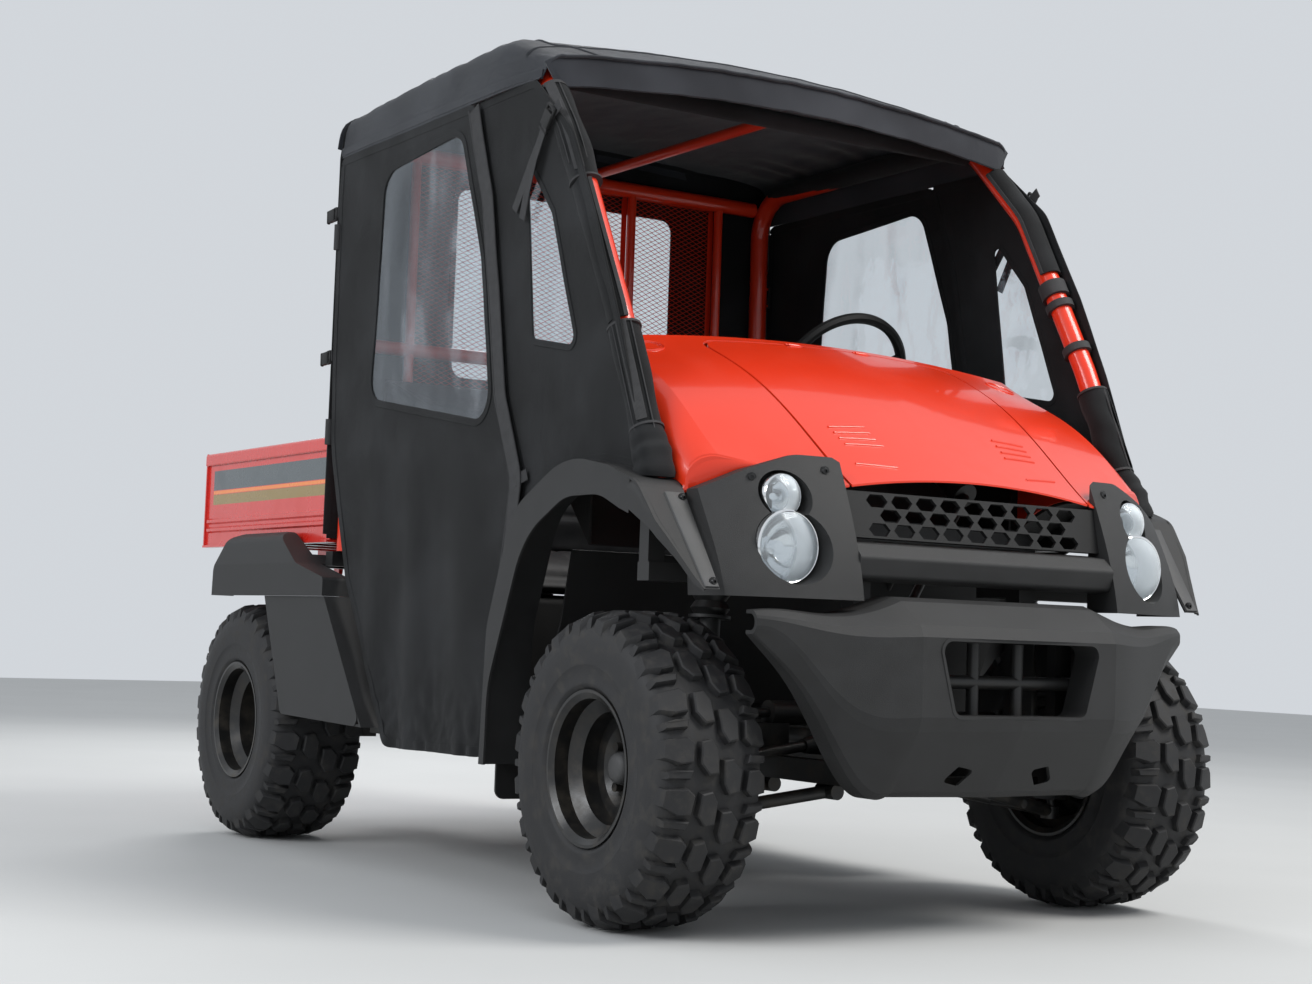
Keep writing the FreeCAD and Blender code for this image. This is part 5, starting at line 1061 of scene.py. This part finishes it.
def mesh_screen():
    low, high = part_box("rear_screen")
    back = (low.x + high.x) / 2
    cell_y, cell_z = 0.024, 0.0125
    panels = []
    frames = []
    for left, right in ((-0.443, -0.190), (-0.166, 0.166), (0.190, 0.443)):
        centre = Vector(((left + right) / 2, (low.z + high.z) / 2))
        half = Vector(((right - left) / 2, (high.z - low.z) / 2 - 0.012))
        count = math.ceil(half.x / cell_y + half.y / cell_z) * 2 + 2
        grid = bmesh.new()
        bmesh.ops.create_grid(grid, x_segments=count, y_segments=count, size=count / 2)
        shear = Matrix(((cell_y / 2, cell_y / 2, 0, 0), (cell_z / 2, -cell_z / 2, 0, 0), (0, 0, 1, 0),
                        (0, 0, 0, 1)))
        bmesh.ops.transform(grid, matrix=shear, verts=grid.verts)
        waste = [face for face in grid.faces
                 if abs(face.calc_center_median().x) > half.x or abs(face.calc_center_median().y) > half.y]
        bmesh.ops.delete(grid, geom=waste, context="FACES")
        bmesh.ops.recalc_face_normals(grid, faces=grid.faces)
        bmesh.ops.wireframe(grid, faces=grid.faces[:], thickness=0.0022, use_replace=True, use_boundary=True,
                            use_even_offset=False)
        stand = Matrix(((0, 0, 0.7, back), (1, 0, 0, centre.x), (0, 1, 0, centre.y), (0, 0, 0, 1)))
        bmesh.ops.transform(grid, matrix=stand, verts=grid.verts)
        panels.append(grid)
        corners = [Vector((centre.x + u * (half.x + 0.002), centre.y + v * (half.y + 0.002)))
                   for u, v in ((-1, -1), (1, -1), (1, 1), (-1, 1))]
        path = [Vector((back, spot.x, spot.y)) for spot in evenly(corners + corners[:1], 0.02)]
        frames.append(swept(path, strap_section(0.0030, 0.016), Vector((1, 0, 0))))
    screen = piece("expanded_mesh", joined(panels), "chassis", "red_steel", smooth=0)
    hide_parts("rear_screen")
    piece("mesh_frames", joined(frames), "chassis", "red_steel")


# Seats

def shrunken_copy(node, margin):
    """The CAD solid of a pad, smaller by a margin on every side."""
    mesh = bmesh.new()
    mesh.from_mesh(NODES[node].data)
    low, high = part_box(node)
    centre = (low + high) / 2
    scale = Vector([1 - 2 * margin / side for side in high - low])
    for vert in mesh.verts:
        vert.co = centre + (vert.co - centre) * scale
    return mended(mesh)


def remeshed(made, voxel):
    """Replaces a piece's mesh by one of even small faces."""
    even = made.modifiers.new("even", "REMESH")
    even.mode = "VOXEL"
    even.voxel_size = voxel
    bpy.context.view_layer.update()
    made.data = bpy.data.meshes.new_from_object(made.evaluated_get(bpy.context.evaluated_depsgraph_get()))
    made.modifiers.clear()
    made.data.shade_smooth()


def blown_up(made, pressure, cap, held):
    """Swells a padded piece with Blender's cloth; points move no further than the cap, and held ones stay."""
    scene = bpy.context.scene
    start = made.data
    group = made.vertex_groups.new(name="held")
    group.add([vert.index for vert in start.vertices if held(vert.co)], 1.0, "REPLACE")
    places = [vert.co.copy() for vert in start.vertices]
    cloth = made.modifiers.new("swelling", "CLOTH")
    cloth.settings.use_pressure = True
    cloth.settings.uniform_pressure_force = pressure
    cloth.settings.effector_weights.gravity = 0
    cloth.settings.vertex_group_mass = "held"
    cloth.point_cache.frame_start = 1
    cloth.point_cache.frame_end = 20
    for moment in range(1, 21):
        scene.frame_set(moment)
    swollen = bpy.data.meshes.new_from_object(made.evaluated_get(bpy.context.evaluated_depsgraph_get()))
    made.modifiers.clear()
    made.vertex_groups.clear()
    for vert, place in zip(swollen.vertices, places):
        shift = vert.co - place
        if shift.length > cap:
            vert.co = place + shift * (cap / shift.length)
    made.data = swollen
    made.data.shade_smooth()
    scene.frame_set(1)


# each cushion's name, its node and the way it faces
BENCH_PADS = (("bench_cushion", "seat_cushion", Vector((0, 0, 1))),
              ("bench_back", "seat_back", Vector((1, 0, 0))))
# places of the sewn channels, as shares of half the pad's size
CROSS_CHANNELS = (-0.45, 0.0, 0.45)
END_CHANNELS = (-0.34, 0.34)
CHANNEL_DEPTH = 0.009


def sewn(made, low, high, facing):
    """Presses the channels into a swollen pad."""
    centre = (low + high) / 2
    half = (high - low) / 2
    for vert in made.data.vertices:
        place = vert.co - centre
        front = max(0.0, min(1.0, (place.dot(facing) / half.dot(facing) - 0.2) / 0.4))
        along = place.x / half.x if facing.z else place.z / half.z
        press = [math.exp(-((along - line) * half.z / 0.0075) ** 2) for line in CROSS_CHANNELS]
        press += [math.exp(-((place.y / half.y - line) * half.y / 0.010) ** 2) for line in END_CHANNELS]
        vert.co -= facing * (CHANNEL_DEPTH * max(press) * front)


def bench_pads():
    """Bench cushion and backrest, swollen by a cloth simulation and then sewn."""
    for name, node, facing in BENCH_PADS:
        low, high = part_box(node)
        made = piece(name, shrunken_copy(node, 0.009), "chassis", "seat_vinyl", smooth=60)
        remeshed(made, 0.008)
        back = low.dot(facing) + 0.024
        blown_up(made, 4.0, 0.022, lambda spot: spot.dot(facing) < back)
        sewn(made, low, high, facing)
        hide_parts(node)


# Lamps

# lines as share of the lamp's radius and place along X
LAMP_BOWL = ((0.0, -0.050), (0.22, -0.050), (0.30, -0.048), (0.55, -0.040), (0.80, -0.022), (0.95, -0.004),
             (1.0, 0.000))
BULB_CAP = ((0.0, -0.030), (0.16, -0.030), (0.20, -0.034), (0.20, -0.050))
LAMP_RING = ((0.93, 0.000), (1.0, 0.003), (1.05, 0.000), (1.05, -0.014), (0.99, -0.014), (0.93, -0.004))
LAMP_DOME = [(step / 8 * 0.97, 0.016 * (1 - (step / 8) ** 2) + 0.002) for step in range(9)]


def lamp_unit(z, radius, face, side):
    """Mirror bowl with its bulb cap and ring, and the domed glass in front."""
    def turned(line, closed=False):
        return spun([(x, 0, share * radius) for share, x in line], (1, 0, 0), 40, closed)
    metal = [mended(turned(LAMP_BOWL)), mended(turned(BULB_CAP)), mended(turned(LAMP_RING, closed=True))]
    glass = turned(LAMP_DOME)
    for mesh in metal + [glass]:
        bmesh.ops.translate(mesh, vec=(face, side * LAMP_Y, z), verts=mesh.verts)
    return metal, thickened(glass, 0.0016)


def headlamp_units():
    bowls = []
    glasses = []
    for side in (-1, 1):
        for z, radius, face in ((0.724, 0.066, 1.190), (0.819, 0.040, 1.166)):
            metal, glass = lamp_unit(z, radius, face, side)
            bowls += metal
            glasses.append(glass)
    mirror = piece("lamp_bowls", joined(bowls), "chassis", "chrome")
    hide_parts("headlamps")
    piece("lamp_glasses", joined(glasses), "chassis", "lens")


# Small parts of the nose

def surface_of(node):
    """Search tree over a CAD node's faces."""
    made = NODES[node]
    spots = [made.matrix_world @ vert.co for vert in made.data.vertices]
    return BVHTree.FromPolygons(spots, [list(face.vertices) for face in made.data.polygons])


def dropped(tree, x, y):
    """Place on a surface straight below a spot, and the way it faces."""
    return tree.ray_cast(Vector((x, y, 2.0)), Vector((0, 0, -1)))[:2]


def ridge_section(width, height):
    half = width / 2
    ring = ((-half, -0.001), (half, -0.001), (half * 0.55, height * 0.7), (half * 0.2, height),
            (-half * 0.2, height), (-half * 0.55, height * 0.7))
    return lambda share: ring


# rear X and inner end, then front X and outer end, of the moulded louvres on the left half of the hood
HOOD_LOUVRES = ((1.0470, 0.166, 1.0452, 0.251), (1.0640, 0.164, 1.0600, 0.248),
                (1.0815, 0.162, 1.0750, 0.246),
                (1.0985, 0.157, 1.0905, 0.243), (1.1560, 0.165, 1.1400, 0.254))


def nose_relief():
    """Louvres moulded into the hood and the oval bosses on the red wings beside the pillars."""
    hood = surface_of("hood")
    cowl = surface_of("front_cowl")
    louvres = []
    bosses = []
    for side in (-1, 1):
        for inner_x, inner_y, outer_x, outer_y in HOOD_LOUVRES:
            path = []
            for step in range(13):
                share = step / 12
                spot, normal = dropped(hood, inner_x + (outer_x - inner_x) * share,
                                       side * (inner_y + (outer_y - inner_y) * share))
                path.append(spot)
            louvres.append(swept(path, ridge_section(0.0085, 0.0026), normal))
        for stretch, radius in ((1.0, 0.0022), (0.80, 0.0014)):
            ring = []
            for step in range(41):
                angle = TURN * step / 40
                ring.append(dropped(cowl, 0.723 + 0.024 * stretch * math.sin(angle),
                                    side * (0.470 + 0.036 * stretch * math.cos(angle)))[0])
            bosses.append(swept(ring, round_section(radius, 8)))
    piece("hood_louvres", joined(louvres), "hood", "red_plastic", smooth=50)
    piece("wing_bosses", joined(bosses), "chassis", "red_plastic")


LID_TOP = Vector((1.062, 0.589, 0.8165))
LID_FOOT = Vector((1.186, 0.589, 0.643))
LID_OUT = Vector((0.813, 0, 0.582))


def trim_strips():
    """Lighter strips on the slope of the overfenders, beside the lamp housings."""
    def section(share):
        width = 0.046 - 0.014 * share
        return ((0, -0.0005), (0.0012, 0.0026), (0.003, 0.0034), (width - 0.003, 0.0034),
                (width - 0.0012, 0.0026), (width, -0.0005))
    path = [LID_TOP.lerp(LID_FOOT, step / 12) for step in range(13)]
    strips = [mirrored(swept(path, section, LID_OUT), side) for side in (-1, 1)]
    piece("overfender_strips", joined(strips), "chassis", "strip_grey")


# the left lamp housing's rear edge in plan, and its top edge seen from the front
HOUSING_PLAN = ((1.174, 0.320), (1.138, 0.408), (1.098, 0.493), (1.052, 0.586))
HOUSING_TOP = ((0.300, 0.897), (0.408, 0.899), (0.500, 0.866), (0.620, 0.808))
# the overfender's outer edge in plan towards the front, its top edge and its arch seen from the side
NOSE_PLAN = ((0.985, 0.6925), (1.020, 0.6900), (1.100, 0.6735), (1.188, 0.6225))
NOSE_TOP = ((0.980, 0.861), (1.046, 0.837), (1.062, 0.8155), (1.186, 0.642))
NOSE_ARCH = ((0.970, 0.806), (1.030, 0.783), (1.090, 0.744), (1.140, 0.690), (1.172, 0.646), (1.190, 0.636))


def height_on(line, place):
    """Second number of a line of points at a value of its first."""
    for first, second in zip(line, line[1:]):
        if place <= second[0]:
            break
    share = (place - first[0]) / (second[0] - first[0])
    return first[1] + (second[1] - first[1]) * share


def standing_walls(plan, step, levels, thickness, place):
    """Walls on both sides along a line in plan; place(spot, share, side) gives their points, top first."""
    spots = evenly([Vector(spot) for spot in plan], step)
    walls = []
    for side in (-1, 1):
        mesh = bmesh.new()
        grid = [[mesh.verts.new(place(spot, level / levels, side)) for spot in spots]
                for level in range(levels + 1)]
        for lines in zip(grid, grid[1:]):
            pairs = [pair for line in lines for pair in zip(line, line[1:])]
            edges = [mesh.edges.get(pair) or mesh.edges.new(pair) for pair in pairs]
            bmesh.ops.bridge_loops(mesh, edges=edges)
        walls.append(thickened(mesh, thickness))
    return joined(walls)


def wing_lips():
    """Red lip of each wing, turned down to the top edge of its lamp housing."""
    cowl = surface_of("front_cowl")

    def place(spot, share, side):
        found = dropped(cowl, spot.x - 0.006, side * spot.y)[0]
        high = found.z - 0.002 if found else height_on(HOUSING_TOP, spot.y)
        low = min(height_on(HOUSING_TOP, spot.y) - 0.006, high - 0.001)
        bulge = 0.004 * math.sin(share * math.pi)
        return Vector((spot.x - 0.003 + bulge, side * spot.y, high + (low - high) * share))

    lips = standing_walls(HOUSING_PLAN, 0.012, 4, 0.003, place)
    piece("wing_lips", lips, "chassis", "red_plastic", smooth=50)


def overfender_noses():
    """Side walls of the overfenders, running down to the lamp housings' foot."""
    def place(spot, share, side):
        high = height_on(NOSE_TOP, spot.x)
        low = min(height_on(NOSE_ARCH, spot.x), high - 0.004)
        tuck = 0.007 * max(0.0, 1 - share * 4) ** 2
        return Vector((spot.x - tuck * 0.3, side * (spot.y - tuck), high + (low - high) * share))

    walls = standing_walls(NOSE_PLAN, 0.010, 5, 0.0045, place)
    piece("overfender_noses", walls, "chassis", "grey_plastic", smooth=50)


# radius, place and facing of each round bolt head on the left side
NOSE_BOLTS = ((0.0068, (1.1398, 0.4939, 0.8510), (0.814, 0.405, 0.416)),
              (0.0068, (1.1782, 0.3548, 0.8699), (0.902, 0.147, 0.406)),
              (0.0060, (1.0700, 0.6000, 0.8070), (0.813, 0, 0.582)),
              (0.0060, (1.1812, 0.6000, 0.6516), (0.813, 0, 0.582)))


def bolt_head(radius):
    """Round head with a sunk socket and its washer, facing Y."""
    profile = ((0.0, 0.0010), (0.42, 0.0010), (0.48, 0.0042), (0.84, 0.0036), (0.98, 0.0018), (1.0, 0.0010),
               (1.36, 0.0008), (1.40, -0.0030))
    return mended(spun([(share * radius, y, 0) for share, y in profile], (0, 1, 0), 24))


def panel_bolts():
    bolts = []
    for side in (-1, 1):
        for radius, place, facing in NOSE_BOLTS:
            lift = 0.0034 if facing[1] == 0 else 0.0
            spot = Vector(place) + Vector(facing) * lift
            bolts.append(mirrored(placed(bolt_head(radius), spot, (0, 0, 1), facing), side))
    piece("nose_bolts", joined(bolts), "chassis", "rim_black")


pillar_covers()
for end, x, off, width in (("front", 0.897, 0.575, FRONT_TYRE_WIDTH),
                           ("rear", -0.883, 0.570, REAR_TYRE_WIDTH)):
    for side_word, side_sign in SIDES:
        corner = end + "_" + side_word
        wheel_tyre(corner, side_sign * off, width, x, "wheel_" + corner)
        wheel_trim(corner, "wheel_" + corner, side_sign)
mesh_screen()
bench_pads()
headlamp_units()
nose_relief()
wing_lips()
overfender_noses()
trim_strips()
panel_bolts()


# Camera, floor and light

camera_data = bpy.data.cameras.new("camera")
camera_data.sensor_width = 36.0
camera_data.lens = 58.25
camera_data.clip_end = 60.0
camera = bpy.data.objects.new("camera", camera_data)
bpy.context.scene.collection.objects.link(camera)
view_back = -Vector((-0.84406719, 0.53197163, 0.06750376))
view_up = Vector((0.03829571, -0.06576264, 0.99710015))
view_right = view_up.cross(view_back).normalized()
turn = Matrix((view_right, view_up, view_back)).transposed().to_4x4()
camera.matrix_world = Matrix.Translation((4.3490, -2.7234, 0.5530)) @ turn
bpy.context.scene.camera = camera


def floor_look():
    look = Look("studio_floor")
    cloud = look.grain(1.5, 3.0)
    matt = look.shader(Base_Color=look.mix(cloud, (0.47, 0.475, 0.47, 1), (0.52, 0.525, 0.52, 1)),
                       Roughness=0.85)
    return look.close(matt)


floor_mesh = bmesh.new()
bmesh.ops.create_grid(floor_mesh, x_segments=1, y_segments=1, size=14)
floor_data = bpy.data.meshes.new("floor")
floor_mesh.to_mesh(floor_data)
floor_mesh.free()
floor_data.materials.append(floor_look())
floor_object = bpy.data.objects.new("floor", floor_data)
bpy.context.scene.collection.objects.link(floor_object)

world = bpy.data.worlds.new("studio")
world.use_nodes = True
background = world.node_tree.nodes["Background"]
background.inputs["Color"].default_value = (0.86, 0.90, 0.95, 1)
background.inputs["Strength"].default_value = 0.75
bpy.context.scene.world = world


def lamp(name, place, target, size, power, colour=(1, 1, 1)):
    light = bpy.data.lights.new(name, "AREA")
    light.shape = "RECTANGLE"
    light.size, light.size_y = size
    light.energy = power
    light.color = colour
    holder = bpy.data.objects.new(name, light)
    bpy.context.scene.collection.objects.link(holder)
    direction = (Vector(target) - Vector(place)).to_track_quat("-Z", "Y")
    holder.matrix_world = Matrix.Translation(place) @ direction.to_matrix().to_4x4()


lamp("key_light", (3.6, 2.4, 5.2), (0.3, 0, 0.8), (2.6, 2.6), 300.0, (1.0, 0.98, 0.95))
lamp("side_light", (0.8, -5.4, 3.4), (0, 0, 0.8), (3.5, 2.0), 170.0, (0.95, 0.97, 1.0))
lamp("back_light", (-4.8, 1.8, 3.6), (-0.4, 0, 1.0), (2.4, 1.8), 120.0)
bpy.context.scene.view_settings.view_transform = "Standard"
